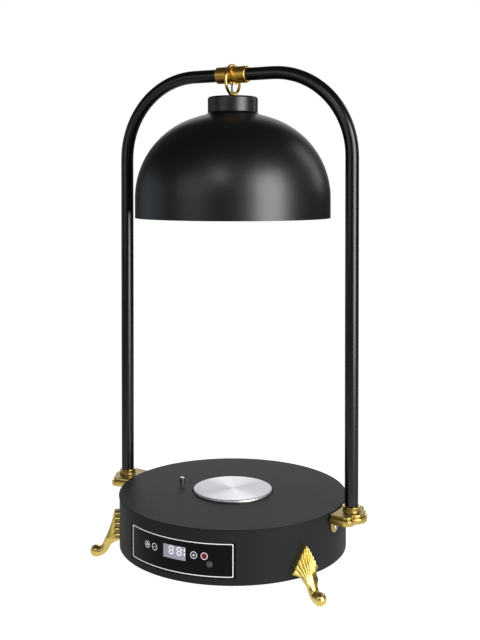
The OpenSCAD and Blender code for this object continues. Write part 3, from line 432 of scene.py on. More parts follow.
class HEATLAMP_OT_finishes(bpy.types.Operator):
    """Make the finishes that the other steps hand out"""

    bl_idname = "heatlamp.finishes"
    bl_label = "Finishes"

    def execute(self, context):
        c = context.scene.lamp_colours
        FINISHES.update({
            # A coat's numbers: roughness, grains to the metre, depth in metres, spread of the roughness
            "drum": coat("drum_coat", c.drum, 0.52, 1500, 2e-5, Specular_IOR_Level=0.18),
            "shade": coat("shade_coat", c.shade, 0.37, 2500, 6e-7, 0.02, Specular_IOR_Level=1.0),
            "tube": coat("tube_coat", c.tube, 0.26, 700, 2e-7, 0.012, Specular_IOR_Level=0.8),
            "film": coat("panel_film", c.film, 0.12, 300, 1e-6, Specular_IOR_Level=0.12),
            # The print and the display's face glow a little though neither is a lamp: painted light
            "print": coat("panel_print", c.marks, 0.34, 1200, 4e-6, glow=0.35),
            "display": coat("display_face", c.display, 0.22, 1600, 1e-6, glow=0.21),
            "digits": coat("display_digits", c.digits, 0.30, 900, 1e-6, glow=0.8),
            "red": coat("power_red", (0.42, 0.010, 0.010), 0.30, 900, 4e-6),
            "sensor": coat("sensor_window", (0.075, 0.075, 0.075), 0.25, 600, 4e-6),
            "black": coat("black_plastic", (0.022, 0.022, 0.024), 0.42),
            "ceramic": coat("white_ceramic", (0.78, 0.77, 0.73), 0.22),
            "board": coat("circuit_board", (0.03, 0.16, 0.08), 0.45),
            "heat_proof": coat("heat_proof", (0.05, 0.05, 0.05), 0.60),
            "lead": coat("lead_sheath", c.lead, 0.45, 1500, 3e-5),
            "glass": coat("frosted_glass", (0.80, 0.77, 0.70), 0.30, Transmission_Weight=0.35, IOR=1.5),
            # A cast metal's numbers: roughness of its ridges and of its hollows, grains, depth; the gold's
            # hollow colour is painted shade
            "brass": rubbed_and_shaded_metal("cast_brass", c.brass, c.patina, 0.24, 0.40, 1400, 3e-6),
            "gold": rubbed_and_shaded_metal("gold_plate", c.gold, c.gold_painted_shade, 0.29, 0.36, 900, 5e-7),
            # A drawn or turned metal's numbers: roughness, stretch or pitch of its lines, depth
            "collar": drawn_metal("turned_brass", c.collar, 0.33, (9, 0.4, 0.4), 1e-7),
            "wire": drawn_metal("gold_wire", c.gold, 0.16, (1, 1, 1), 4e-7),
            "steel": drawn_metal("bright_steel", c.steel, 0.24, (1, 1, 0.1), 1e-6),
            "alloy": turned_plate("turned_alloy", c.alloy, 0.30, 900, 6e-6, Anisotropic=0.85),
        })
        return {"FINISHED"}


# Base drum

class HEATLAMP_OT_drum(bpy.types.Operator):
    """Coat the base drum, its top plate and its cover"""

    bl_idname = "heatlamp.drum"
    bl_label = "Base drum"

    def execute(self, context):
        dress("drum", "base_top", "base_wall", "bottom_cover")
        dress("steel", "cover_screws", "foot_screws")
        dress("black", "cord_gland", "gland_nut")
        return {"FINISHED"}


# Heating disc and probe

PLATE = Sizes(thick=6.0, stud_r=3.0, rim_w=1.7, rim_h=2.9, sides=192)
COIL = Sizes(wire=0.8, turns=6, steps=32, sides=12)


def plate_profile():
    """The disc's stud, underside and side as straight lines, its rim as a quarter ellipse, and its face."""
    p = PLATE
    foot, top = corners("heating_disc")
    stud_z, face_z, radius = foot[2], top[2], top[0]
    a = np.linspace(0, pi / 2, 14)
    rim = np.stack([radius - p.rim_w * (1 - np.cos(a)), face_z - p.rim_h * (1 - np.sin(a))], 1)
    face_r = np.linspace(radius - p.rim_w, 0, 12)[1:]
    face = np.stack([face_r, np.full(len(face_r), face_z)], 1)
    under = face_z - p.thick
    stem = [(0, stud_z), (p.stud_r, stud_z), (p.stud_r, under), (radius, under)]
    return np.concatenate([stem, rim, face])


def coil(centre, radius, z0, z1):
    """A wire wound about an upright axis: a small upright circle is carried round and up evenly."""
    wire_r, turns = COIL.wire / 2, COIL.turns
    share = np.linspace(0, 1, turns * COIL.steps + 1)[:, None]
    a = share * turns * 2 * pi
    b = round_angles(COIL.sides)[None, :]
    thick = np.full(share.shape, wire_r)
    a, share, thick = (np.concatenate([v[:1], v, v[-1:]]) for v in (a, share, thick))
    thick[[0, -1]] = 0
    r = radius - wire_r + thick * np.cos(b)
    z = mix(z0 + wire_r, z1 - wire_r, share) + thick * np.sin(b)
    return Patch(np.stack([centre[0] + r * np.cos(a), centre[1] + r * np.sin(a), z], 2), close_cols=True)


class HEATLAMP_OT_hot_plate(bpy.types.Operator):
    """Finish the heating disc, the parts under it and the temperature probe"""

    bl_idname = "heatlamp.hot_plate"
    bl_label = "Heating disc and probe"

    def execute(self, context):
        disc = revolve(plate_profile(), PLATE.sides)
        make_piece("heating_disc_face", [disc], "alloy", ["heating_disc"])
        dress("heat_proof", "insulation_ring")
        dress("ceramic", "heater_element")
        dress("steel", "heater_clamp", "heater_nut", "probe_pin", "probe_clip", "probe_guide")
        dress("black", "probe_bush", "thermal_cutout")
        foot, top = corners("probe_spring")
        middle = (foot + top) / 2
        wound = coil(middle, (top[0] - foot[0]) / 2, foot[2], top[2])
        spring = make_piece("probe_coil", [wound], "steel", ["probe_spring"], crease=60)
        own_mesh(spring)
        return {"FINISHED"}


# Control panel

# Heights are above the drum's lower edge, and x is the arc along the film from its middle
PANEL = Sizes(
    border_in=2.6, border_down=1.2, border_corner=1.2, border_rise=0.35,
    key_z=33.4, key_r=3.9, power_r=3.0, power_sign_r=1.5, power_bar=2.0, power_line=0.7,
    lamp_drop=0.6, lamp_r=1.7, lamp_line=0.8, sensor_x=45.4, sensor_z=24.4, sensor_r=3.8,
    window_z=33.0, window_half=(15.5, 8.0), window_corner=0.5,
    digit_z=35.0, digit_half=(2.6, 4.6), digit_gap=0.7, digit_steps=12,
    last_x=14.0, last_span=(0.7, 4.0), last_w=1.2,
)
# Rows of a raised plate: share of its outline, share of its rise
DISC = ((0, 0), (1, 0), (1, 0.6), (0.94, 1), (0, 1))
WINDOW = ((0, 0), (1, 0), (1, 0.7), (0.985, 1), (0.5, 1), (0, 1))
DIGITS = (-3.9, 6.9)
KEYS = {"lamp": -42.0, "less": -29.5, "more": 26.0, "power": 39.0}
# Bars of the signs: key, line width where it isn't the rings', both ends about the key's middle
KEY_BARS = (
    ("less", None, (-1.7, 0), (1.7, 0)),
    ("more", None, (-1.9, 0), (1.9, 0)),
    ("more", None, (0, -1.9), (0, 1.9)),
    ("lamp", 0.7, (-2.1, -0.6), (2.1, -0.6)),
    ("lamp", 0.7, (0, 1.1), (0, 2.6)),
    ("lamp", 0.6, (-1.1, -1.4), (-1.54, -2.4)),
    ("lamp", 0.6, (1.1, -1.4), (1.54, -2.4)),
)


def on_film(arc, z, rise):
    """Wraps (arc along the film, height, rise above it) on the panel's cylinder, its middle at -Y."""
    a = arc / FILM_R
    r = FILM_R + rise
    return np.stack([r * np.sin(a), -r * np.cos(a), z], -1)


def raised(loops, **closed):
    """A patch on the film, of loops that are given as (points of arc and height, rise)."""
    return Patch(np.stack([on_film(*points.T, rise) for points, rise in loops]), **closed)


def stroke(path, width, rise, steps=24):
    """A raised line along a path of (arc, height): edges half a width aside, which meet at its ends."""
    path = np.asarray(path, float)
    run = np.concatenate([[0], np.cumsum(np.hypot(*np.diff(path, axis=0).T))])
    along = run[-1] * (1 - np.cos(np.linspace(0, pi, steps))) / 2
    p = np.stack([np.interp(along, run, path[:, k]) for k in (0, 1)], 1)
    d = np.gradient(p, axis=0)
    d /= np.hypot(d[:, 0], d[:, 1])[:, None]
    end = np.minimum(along, run[-1] - along)
    half = np.sqrt(np.clip(1 - (1 - np.clip(end / (width / 2), 0, 1)) ** 2, 0, 1)) * width / 2
    side = np.stack([-d[:, 1], d[:, 0]], 1) * half[:, None]
    return raised([(p + s * side, h) for s, h in ((-1, 0), (-1, rise), (1, rise), (1, 0))], close_rows=True)


def ring_mark(arc, z, radius, width, rise, sides=64):
    """A raised ring: circles half a width out and in from the radius, low and raised."""
    a, outer, inner = round_angles(sides), radius + width / 2, radius - width / 2
    rows = ((outer, 0), (outer, rise), (inner, rise), (inner, 0))
    return raised([(on_circle((arc, z), r, a), h) for r, h in rows], close_rows=True, close_cols=True)


def plate_mark(outline, middle, rows, rise):
    """A raised plate: its outline grows from its middle, rises, rounds over and shrinks back."""
    return raised([(outline * share + middle, h * rise) for share, h in rows], close_cols=True)


def frame_outline(half_w, half_h, corner, per_side=40, per_corner=10):
    """A rectangle with round corners: four quarter circles joined by straight runs."""
    arcs = []
    for k, (sx, sy) in enumerate(((1, 1), (-1, 1), (-1, -1), (1, -1))):
        a = np.linspace(k, k + 1, per_corner) * pi / 2
        arcs.append(on_circle((sx * (half_w - corner), sy * (half_h - corner)), corner, a))
    share = np.linspace(0, 1, per_side)[1:-1, None]
    runs = []
    for arc, following in zip(arcs, arcs[1:] + arcs[:1]):
        runs += [arc, mix(arc[-1], following[0], share)]
    return np.concatenate(runs)


def border_line(half_w, half_h, corner, width, z, rise):
    """A raised line round a rectangle: its outline, drawn in, follows a low arch across the line."""
    outline, size = frame_outline(half_w, half_h, corner), np.array([half_w, half_h])
    a = np.linspace(0, pi, 9)
    rows = zip(width * (1 - np.cos(a)) / 2, rise * np.sin(a))
    loops = [(outline * (size - inset) / size + (0, z), h) for inset, h in rows]
    return raised(loops, close_rows=True, close_cols=True)


def digit_paths(arc, z, half_w, half_h, gap):
    """The seven segments of a digit as straight paths, clear of each other by a gap."""
    left, right = arc - half_w + gap, arc + half_w - gap
    paths = [[(left, z + s * half_h), (right, z + s * half_h)] for s in (-1, 0, 1)]
    for x in (-half_w, half_w):
        paths += [[(arc + x, z + s * gap), (arc + x, z + s * (half_h - gap))] for s in (-1, 1)]
    return paths


class HEATLAMP_OT_panel(bpy.types.Operator):
    """Print the control panel: border, key rings and signs, display and digits"""

    bl_idname = "heatlamp.panel"
    bl_label = "Control panel"

    def execute(self, context):
        dress("film", "control_panel")
        dress("black", "panel_carrier")
        dress("display", "display_module")
        dress("board", "control_board", "power_board")
        s, p = context.scene.lamp_sizes, PANEL
        rise, line = s.print_height / MM, s.ring_width / MM
        foot, top = corners("control_panel")
        half_w, half_h = math.asin(top[0] / FILM_R) * FILM_R, (top[2] - foot[2]) / 2
        border = border_line(
            half_w - p.border_in, half_h - p.border_down, p.border_corner, s.border_width / MM,
            (foot[2] + top[2]) / 2, p.border_rise)
        make_piece("panel_border", [border], "print")

        key_z = Z_BOTTOM + p.key_z
        lamp = on_circle((KEYS["lamp"], key_z - p.lamp_drop), p.lamp_r, np.linspace(0, pi, 24))
        signs = [ring_mark(x, key_z, p.key_r, line, rise) for x in KEYS.values()]
        signs += [stroke(np.add(ends, (KEYS[key], key_z)), w or line, rise) for key, w, *ends in KEY_BARS]
        signs.append(stroke(lamp, p.lamp_line, rise))
        make_piece("panel_signs", signs, "print")

        x, disc = KEYS["power"], on_circle((0, 0), 1, round_angles(48))
        power = plate_mark(p.power_r * disc, (x, key_z), DISC, rise)
        make_piece("power_key", [power], "red")
        arc = on_circle((x, key_z), p.power_sign_r, np.radians(np.linspace(130, 410, 24)))
        bar = [(x, key_z), (x, key_z + p.power_bar)]
        strokes = [stroke(path, p.power_line, 2 * rise) for path in (arc, bar)]
        make_piece("power_sign", strokes, "film")
        sensor = plate_mark(p.sensor_r * disc, (p.sensor_x, Z_BOTTOM + p.sensor_z), DISC, 2 * rise)
        make_piece("sensor_window", [sensor], "sensor")

        outline = frame_outline(*p.window_half, p.window_corner)
        window = plate_mark(outline, (0, Z_BOTTOM + p.window_z), WINDOW, rise)
        make_piece("display_window", [window], "display")
        z = Z_BOTTOM + p.digit_z
        bars = []
        for x in DIGITS:
            paths = digit_paths(x, z, *p.digit_half, p.digit_gap)
            bars += [(path, s.segment_width / MM) for path in paths]
        bars += [([(p.last_x, z + k * up) for up in p.last_span], p.last_w) for k in (-1, 1)]
        digits = [stroke(path, width, 2 * rise, p.digit_steps) for path, width in bars]
        make_piece("display_digits", digits, "digits")
        return {"FINISHED"}


# Shell feet

# Lengths in millimetres, then powers and shares that shape the fan and paint shade into its flute valleys
FOOT = Sizes(
    shell_w=39.0, shell_top=40.0, shell_corner=8.5, shell_t=8.0, ball_r=8.0, ball_reach=32.0,
    leg_t=10.0, leg_w=14.5, root_w=17.0, root_lift=8.0, ball_flat=0.4, heel_in=10.3,
    heel_drop=1.8, waist_reach=17.2, waist_drop=4.5, open=84.0, back_rise=1.5,
    girth_power=2.2, edge_power=1.15, out_power=1.45, fan_power=1.6, ridge_power=0.42,
    valley=0.02, scallop=0.2, first_step=0.14, neck=0.55, neck_end=0.5, edge_from=0.93, flute_steps=12,
    cape_from=0.3, cape_turn=0.6, flutes=(0.12, 0.85), hollows=(0.15, 0.6), dull=(0.9, 1.2),
    edge_dull=(0.8, 2.5),
)


def leg_axis(t):
    """The leg's axis, a curve of three points, and its direction: ball, heel and waist as (out, up)."""
    f = FOOT
    ball = np.array([WALL_R + f.ball_reach, f.ball_r - f.ball_flat])
    heel = np.array([ball[0] - f.heel_in, f.ball_r - f.heel_drop])
    waist = np.array([WALL_R + f.waist_reach, Z_BOTTOM - f.waist_drop])
    t = t[..., None]
    point = (1 - t) ** 2 * ball + 2 * t * (1 - t) * heel + t ** 2 * waist
    slope = (1 - t) * (heel - ball) + t * (waist - heel)
    return point, slope / np.linalg.norm(slope, axis=-1, keepdims=True)


def round_leg(t, along, radius, angle):
    """Points of oval loops square to the leg, pushed along it: angle 0 is the leg's front, 180 its back.

    Across, a loop is wider by a share that grows up the leg.
    """
    point, slope = leg_axis(t)
    spread = mix(1, FOOT.leg_w / FOOT.leg_t, t)
    a = np.radians(angle)
    front = np.stack([slope[..., 1], -slope[..., 0]], -1)
    p = point + along[..., None] * slope + (radius * np.cos(a))[..., None] * front
    return np.stack([p[..., 0], spread * radius * np.sin(a), p[..., 1]], -1)


def wall_out(y):
    """How far out a surface against the drum's wall lies, at y."""
    return np.sqrt(WALL_R ** 2 - y ** 2) + SEAT_GAP


def shell_foot(sizes):
    """A foot as loops of points, front half and back half: a ball, a leg along a curve and a fan of flutes.

    A flute's height is a root of a cosine's square across the fan: a round ridge and a narrow valley. Up the
    fan the front leaves the leg upright and turns outwards to the scalloped edge, which rounds over.
    """
    f = FOOT
    count, depth = sizes.flute_count, sizes.flute_depth / MM
    s = np.linspace(-1, 1, count * f.flute_steps + 1)
    ridge = 2 * mix(np.cos(pi * count * s / 2) ** 2, 1, f.valley) ** f.ridge_power - 1
    hollow = 1 - (ridge + 1) / 2
    ones = np.ones_like(s)
    front_angle, back_angle = f.open * s, 180 - f.open * s[::-1]

    def loop(t, along, radius, cape):
        """One loop round the ball or the leg, its front raised by the cape."""
        front_r = radius + cape * np.cos(np.radians(front_angle * f.cape_turn))
        halves = ((front_r, front_angle), (radius * ones, back_angle))
        return np.concatenate([round_leg(t * ones, along * ones, r, angle) for r, angle in halves])

    ball = np.linspace(0.0, pi / 2, 18)[:-1]
    rows = [loop(0, -f.ball_r * cos(a), f.ball_r * sin(a), 0) for a in ball]
    legs = np.linspace(0, 1, 26)
    capes = sizes.cape / MM * smooth_step(legs, f.cape_from, 1)
    girth = mix(f.leg_t / 2, f.ball_r, (1 - legs) ** f.girth_power)
    rows += [loop(t, 0.0, r, k) for t, r, k in zip(legs, girth, capes)]
    leg_rows = len(rows)

    scallop = depth * f.scallop * ridge
    edge_y = f.shell_w / 2 * s + np.sign(s) * scallop
    edge_z = Z_BOTTOM + mix(f.shell_top, f.shell_corner, np.abs(s) ** f.edge_power) + scallop
    edge_x = wall_out(edge_y) + f.shell_t - depth / 2
    waist = rows[-1][: len(s)] * (1, f.root_w / f.leg_w, 1)
    waist[:, 2] += f.root_lift * s ** 2
    heel = rows[-1][len(s):]
    start, first = f.edge_from, f.first_step
    rounding = start + (1 - start) * np.sin(np.linspace(0, pi / 2, 9))[1:]
    steps = np.concatenate([np.linspace(0, start, 34)[1:], rounding])

    def front(u):
        """The fluted front, a share u of the way from the waist to the edge."""
        k = np.clip((u - start) / (1 - start), 0, 1)
        x = mix(waist[:, 0], edge_x, 1 - (1 - u) ** f.out_power)
        x += depth / 2 * ridge * smooth_step(u, *f.flutes)
        x -= sizes.edge_round / MM * (1 - math.sqrt(1 - k * k))
        return np.stack([x, mix(waist[:, 1], edge_y, u ** f.fan_power), mix(waist[:, 2], edge_z, u)], 1)

    def rear(u):
        """The back: from the heel to the wall in the first step, then up the wall to the edge."""
        rise = (max(u, first) - first) / (1 - first)
        y = front(max(u, first))[::-1, 1] * mix(f.neck, 1, smooth_step(rise, 0, f.neck_end))
        at_wall = np.stack([wall_out(y), y, mix(Z_BOTTOM + f.back_rise, edge_z[::-1], rise)], 1)
        return mix(heel, at_wall, min(u / first, 1))

    rows += [np.concatenate([front(u), rear(u)]) for u in steps]
    points = np.stack(rows)
    painted_shading = np.ones(points.shape[:2])
    fade = np.concatenate([np.zeros(leg_rows), steps])[:, None]
    # Painted shade: the flute valleys grow darker up the fan
    painted_shading[:, : len(s)] = 1 - f.dull[0] * hollow ** f.dull[1] * smooth_step(fade, *f.hollows)
    edge = mix(points[-1, : len(s)], points[-1, len(s):][::-1], np.linspace(0, 1, 6)[:, None, None])
    points[..., 2] = np.maximum(points[..., 2], 0)
    # The scalloped edge's valleys carry painted shade as well
    return [(points, True, painted_shading), (edge, False, 1 - f.edge_dull[0] * hollow ** f.edge_dull[1])]


class HEATLAMP_OT_feet(bpy.types.Operator):
    """Cast the three fluted shell feet"""

    bl_idname = "heatlamp.feet"
    bl_label = "Shell feet"

    def execute(self, context):
        foot = shell_foot(context.scene.lamp_sizes)
        for node, angle in FOOT_ANGLES.items():
            patches = [Patch(turn(p, angle), close_cols=c, polish=k) for p, c, k in foot]
            make_piece(node + "_cast", patches, "gold", [node], crease=80)
        return {"FINISHED"}


# Post brackets

BRACKET = Sizes(
    half_w=29.0, taper=3.0, corner_x=POST_X + 1.0, corner_r=10.0, lobe_x=POST_X + 1.2,
    lobe_r=18.4, gap=1.2, lap=2.0, foot_w=1.0, foot_h=0.8, tier_h=7.0, tier_round=1.4,
    groove_depth=1.2, bead_inset=2.0, bead_w=1.3, bead_h=1.5, bead_drop=1.6, top_inset=0.8,
    top_drop=0.15, boss_r=10.5, boss_flare=1.6,
    ear_y=13.5, ear_w=16.0, ear_drop=14.0, ear_t=3.0, ear_lap=2.0, screw_up=7.0,
)
BEAD_POLISH = [0.35] * 4 + [1.0] * 8 + [0.6] * 3
# The boss from foot to lip: out from its radius, up, polish. Then its bore: gap to the tube, up, polish
BOSS = (
    (BRACKET.boss_flare, 0, 0.1), (0.75, 0.2, 0.1), (0.25, 0.65, 0.2), (0, 1.6, 0.35), (0, 4.7, 0.5),
    (0.12, 5.3, 0.7), (0.55, 5.75, 1.0), (0.65, 6.3, 1.0), (0.5, 6.8, 1.0), (0.1, 7.1, 0.9),
)
BORE = ((0.15, 7.15, 0.6), (0.1, 5, 0.2))
# An ear from the wall to its face: inset, out, polish
EAR = (
    (0, 0, 0.2), (0, 2.0, 0.5), (0.12, 2.5, 0.9), (0.4, 2.85, 0.8), (0.9, BRACKET.ear_t, 0.45),
    (4.0, BRACKET.ear_t, 0.35), (BRACKET.ear_w / 2 - 0.01, BRACKET.ear_t, 0.35),
)
# A screw's head: lengths, then shares of its radius or rise
SCREW = Sizes(r=3.75, rise=2.3, sunk=0.05, dome=0.93, arm=(0.09, 0.15), reach=(0.45, 0.54), pit=0.55)


def bracket_outline(inset):
    """The bracket from above, set in: drum side, straight side, corner lobe, middle lobe, and mirrored.

    The corner and middle lobes are circles, and they meet where both circles' equations hold.
    """
    b = BRACKET
    corner = np.array([b.corner_x, b.half_w - b.corner_r])
    lobe = np.array([b.lobe_x, 0.0])
    rc, rl = b.corner_r - inset, b.lobe_r - inset
    gap = corner - lobe
    d = np.hypot(*gap)
    along = (rl ** 2 - rc ** 2 + d ** 2) / (2 * d)
    off = math.sqrt(rl ** 2 - along ** 2)
    meet = lobe + gap / d * along + np.array([gap[1], -gap[0]]) / d * off
    a_corner, a_lobe = (math.atan2(*(meet - centre)[::-1]) for centre in (corner, lobe))
    inner_r = BASE_R + b.gap
    far = np.array([b.corner_x, b.half_w - inset])
    near = far - (b.corner_x - WALL_R + b.lap, b.taper)
    run = far - near
    half_way, over = near @ run / (run @ run), (near @ near - inner_r ** 2) / (run @ run)
    start = near + run * (math.sqrt(half_way ** 2 - over) - half_way)
    a_in = math.atan2(start[1], start[0])
    drum_side = on_circle((0, 0), inner_r, np.linspace(-a_in, a_in, 40))
    straight = mix(start, far, np.linspace(0, 1, 14)[1:-1, None])
    upper = np.concatenate([straight, on_circle(corner, rc, np.linspace(pi / 2, a_corner, 26))])
    middle = on_circle(lobe, rl, np.linspace(a_lobe, -a_lobe, 60)[1:-1])
    return np.concatenate([drum_side, upper, middle, upper[::-1] * (1, -1)])


def bracket_tiers():
    """The tiers' profile as (inset, height, polish): round edges, a groove and a half-round bead."""
    b, z0 = BRACKET, Z_BRACKET_LOW
    tier_z, r = z0 + b.tier_h, b.tier_round
    groove = b.bead_inset + b.groove_depth
    quarter = np.linspace(0, pi / 2, 6)
    half = np.linspace(0.1, pi * 0.96, len(BEAD_POLISH))
    rows = [(b.foot_w - sin(t), z0 + b.foot_h * (1 - cos(t)), 0.75) for t in quarter]
    rows += [(r * (1 - cos(t)), tier_z - r + r * sin(t), 0.95) for t in quarter]
    rows += [(groove, tier_z + 0.05, 0.25), (groove + 0.05, tier_z + 0.6, 0.1)]
    bead_z = Z_BRACKET - b.bead_drop
    rows += [(b.bead_inset + b.bead_w * (1 - sin(t)), bead_z - b.bead_h * cos(t), k)
             for t, k in zip(half, BEAD_POLISH)]
    rows.append((groove + b.top_inset, Z_BRACKET - b.top_drop, 0.15))
    return np.array(rows)


def bracket_body(mirror):
    """The bracket's tiers, top, boss and ears.

    The tiers are outlines at the insets and heights of their profile. The top runs straight from the last
    outline to the boss's circle, and the boss is a turned profile with a lip.
    """
    b = BRACKET
    tiers = bracket_tiers()
    rows = np.stack([at_height(bracket_outline(inset), z) for inset, z, _ in tiers])
    centre, top_z = np.array([POST_X, 0.0]), tiers[-1, 1]
    flat, under_row = rows[-1, :, :2], rows[0, :, :2]
    reach = flat - centre
    boss_foot = centre + reach / np.linalg.norm(reach, axis=1, keepdims=True) * (b.boss_r + b.boss_flare)
    share = np.linspace(0, 1, 8)[:, None, None]
    top = at_height(mix(flat, boss_foot, share), top_z)
    under = at_height(mix(centre, under_row, share), tiers[0, 1])
    boss = [(b.boss_r + out, top_z + up) for out, up, _ in BOSS]
    boss += [(TUBE_R + gap, top_z + up) for gap, up, _ in BORE]
    patches = [
        Patch(rows, close_cols=True, polish=tiers[:, 2:]),
        Patch(top, close_cols=True, polish=0.12),
        Patch(under, close_cols=True, polish=0.4),
        revolve(boss, 96, centre, [row[2] for row in BOSS + BORE]),
        bracket_ear(-1), bracket_ear(1),
    ]
    for p in patches:
        p.points = p.points * (-1 if mirror else 1, 1, 1)
    return patches


def bracket_ear(side):
    """An ear on the drum: its outline, straight sides and a half-round end, steps out and rounds over."""
    b = BRACKET
    half = b.ear_w / 2
    z_top, z_mid = Z_BRACKET_LOW + b.ear_lap, Z_BRACKET_LOW - b.ear_drop + half
    a = np.linspace(0, -pi, 40)
    rows = []
    for inset, out, _ in EAR:
        r = half - inset
        outline = np.concatenate([[(r, z_top)], on_circle((0, z_mid), r, a), [(-r, z_top)]])
        across = (side * b.ear_y + outline[:, 0]) / WALL_R
        rows.append(np.column_stack([on_circle((0, 0), WALL_R + SEAT_GAP + out, across), outline[:, 1]]))
    return Patch(np.stack(rows), polish=np.array(EAR)[:, 2:])


def cross_screw(steps=22, sides=96):
    """A domed head, out along local Z: part of a ball, with a cross-shaped pit pressed into its crown."""
    radius, rise = SCREW.r, SCREW.rise
    f = np.concatenate([np.linspace(0, 0.62, steps), np.linspace(0.66, 1, 8)])[:, None]
    a = round_angles(sides)[None, :]
    x, y = f * radius * np.cos(a), f * radius * np.sin(a)
    dome = rise * np.sqrt(np.clip(1 - f ** 2 * SCREW.dome, 0, 1))
    arm = np.minimum(np.abs(x), np.abs(y)) / radius
    far = np.maximum(np.abs(x), np.abs(y)) / radius
    pit = (1 - smooth_step(arm, *SCREW.arm)) * (1 - smooth_step(far, *SCREW.reach))
    head = np.stack([x, y, dome - pit * rise * SCREW.pit], 2)
    skirt = np.stack([x[-1], y[-1], np.zeros(sides)], 1)[None]
    return np.concatenate([head, skirt])


class HEATLAMP_OT_brackets(bpy.types.Operator):
    """Cast the two post brackets and set their screws"""

    bl_idname = "heatlamp.brackets"
    bl_label = "Post brackets"

    def execute(self, context):
        b = BRACKET
        for node, mirror in (("bracket_left", True), ("bracket_right", False)):
            make_piece(node + "_cast", bracket_body(mirror), "brass", [node], crease=35)
        across, up, out = np.moveaxis(cross_screw(), -1, 0)
        seat = WALL_R + SEAT_GAP + b.ear_t - SCREW.sunk
        head = np.stack([seat + out, across, Z_BRACKET_LOW - b.ear_drop + b.screw_up + up], -1)
        ear_angle = math.degrees(b.ear_y / WALL_R)
        angles = [middle + s * ear_angle for middle in (0, 180) for s in (-1, 1)]
        screws = [Patch(turn(head, angle), close_cols=True) for angle in angles]
        make_piece("bracket_screw_heads", screws, "steel", ["bracket_screws"], crease=60)
        dress("steel", "bracket_nuts", "tube_grub_screws")
        return {"FINISHED"}


# Arch, collar and hanger

LEAD = Sizes(r=1.3, head_x=-1.2, steps=33)


def tube_along(path, radius, sides=20):
    """A round tube along a path: each loop lies square to the path, on a side vector kept level with X."""
    d = np.gradient(path, axis=0)
    d /= np.linalg.norm(d, axis=1, keepdims=True)
    side = np.array([1.0, 0, 0]) - d * d[:, :1]
    side /= np.linalg.norm(side, axis=1, keepdims=True)
    other = np.cross(d, side)
    a = round_angles(sides)[None, :, None]
    loops = path[:, None] + radius * (np.cos(a) * side[:, None] + np.sin(a) * other[:, None])
    ends = np.repeat(path[[0, -1], None], sides, 1)
    return Patch(np.concatenate([ends[:1], loops, ends[1:]]), close_cols=True)


class HEATLAMP_OT_arch(bpy.types.Operator):
    """Finish the arch, its collar and eyelet, the ring and the lamp's lead"""

    bl_idname = "heatlamp.arch"
    bl_label = "Arch and hanger"

    def execute(self, context):
        dress("tube", "arch_tube")
        dress("collar", "collar")
        dress("wire", "lead_eyelet", "hanging_ring", "cap_eye")
        dress("steel", "eye_nuts")
        dress("lead", "tube_lead", "lead_tail")
        foot, top = corners("lamp_flex")
        tail = corners("lead_tail").mean(0)
        u = np.linspace(0, 1, LEAD.steps)
        across = mix(np.array([LEAD.head_x, 0.0]), tail[:2], smooth_step(u, 0, 1)[:, None])
        way = np.column_stack([across, mix(top[2], foot[2], u)])
        half = len(way) // 2
        pieces = (("flex_upper", way[: half + 1], "base", "ring"), ("flex_lower", way[half:], "ring", "lamp"))
        for name, part, upper, lower in pieces:
            sheath = tube_along(part, LEAD.r)
            lead = make_piece(name, [sheath], "lead", ["lamp_flex"], body=None)
            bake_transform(lead)
        return {"FINISHED"}


# Lamp

class HEATLAMP_OT_lamp(bpy.types.Operator):
    """Finish the shade, its cap, the lamp holder and the bulb"""

    bl_idname = "heatlamp.lamp"
    bl_label = "Shade and bulb"

    def execute(self, context):
        dress("shade", "shade", "lamp_cap")
        dress("black", "holder_cap", "holder_ring")
        dress("ceramic", "holder_body")
        dress("glass", "bulb_glass")
        dress("steel", "bulb_base")
        return {"FINISHED"}


# Inner works

class HEATLAMP_OT_inner_works(bpy.types.Operator):
    """Finish the parts inside the drum"""

    bl_idname = "heatlamp.inner_works"
    bl_label = "Inner works"

    def execute(self, context):
        dress("black", "transformer")
        dress("ceramic", "terminal_block")
        dress("steel", "board_screws")
        return {"FINISHED"}


# Stage

WHITE, COOL, COLD = (1, 1, 1), (0.86, 0.93, 1.0), (0.80, 0.90, 1.0)
# Softboxes: degrees to the right of the camera, distance, height, height looked at, size and colour
LIGHTS = {
    "key": (42, 1.6, 0.66, 0.5, (0.95, 1.42), WHITE),
    "rim": (118, 1.4, 1.05, 0.5, (0.32, 0.9), WHITE),
    "fill": (-105, 1.6, 0.50, 0.36, (1.3, 0.9), COLD),
    "side": (-45, 1.7, 0.80, 0.5, (1.05, 1.0), COOL),
    "bounce": (-16, 1.53, 1.33, 0.05, (0.45, 0.36), WHITE),
}
# Glow behind the lamp: degrees up, strength round it and in it, cosines between which it rises
BACKDROP = Sizes(up=14, dim=0.04, bright=1.3, reach=(0.89, 0.975))
# Floor: millimetres below the feet, glow near and far, metres between which it falls, start of the fade
FLOOR = Sizes(drop=0.4, near=0.55, far=0.26, reach=(0.28, 0.50), fade=0.35, rings=9, sides=96)
CAMERA = Sizes(sensor=36.0, shift=(0.01124, -0.18718), clip=(0.05, 50))


def softbox(name, position, target, size, power, colour):
    """An area light at a position, whose -Z looks at a target, and which isn't seen by the camera."""
    light = bpy.data.lights.new(name, "AREA")
    light.shape, (light.size, light.size_y) = "RECTANGLE", size
    light.energy, light.color = power, colour
    box = bpy.data.objects.new(name, light)
    bpy.context.scene.collection.objects.link(box)
    box.location = position
    d = np.subtract(target, position)
    box.rotation_euler = (math.acos(-d[2] / np.linalg.norm(d)), 0, math.atan2(d[1], d[0]) - pi / 2)
    box.visible_camera = False


def round_the_camera(stage, degrees, distance, height):
    """A place round the lamp, by its angle to the right of the camera as seen from the lamp."""
    a = stage.yaw + radians(degrees)
    return (sin(a) * distance, -cos(a) * distance, height)


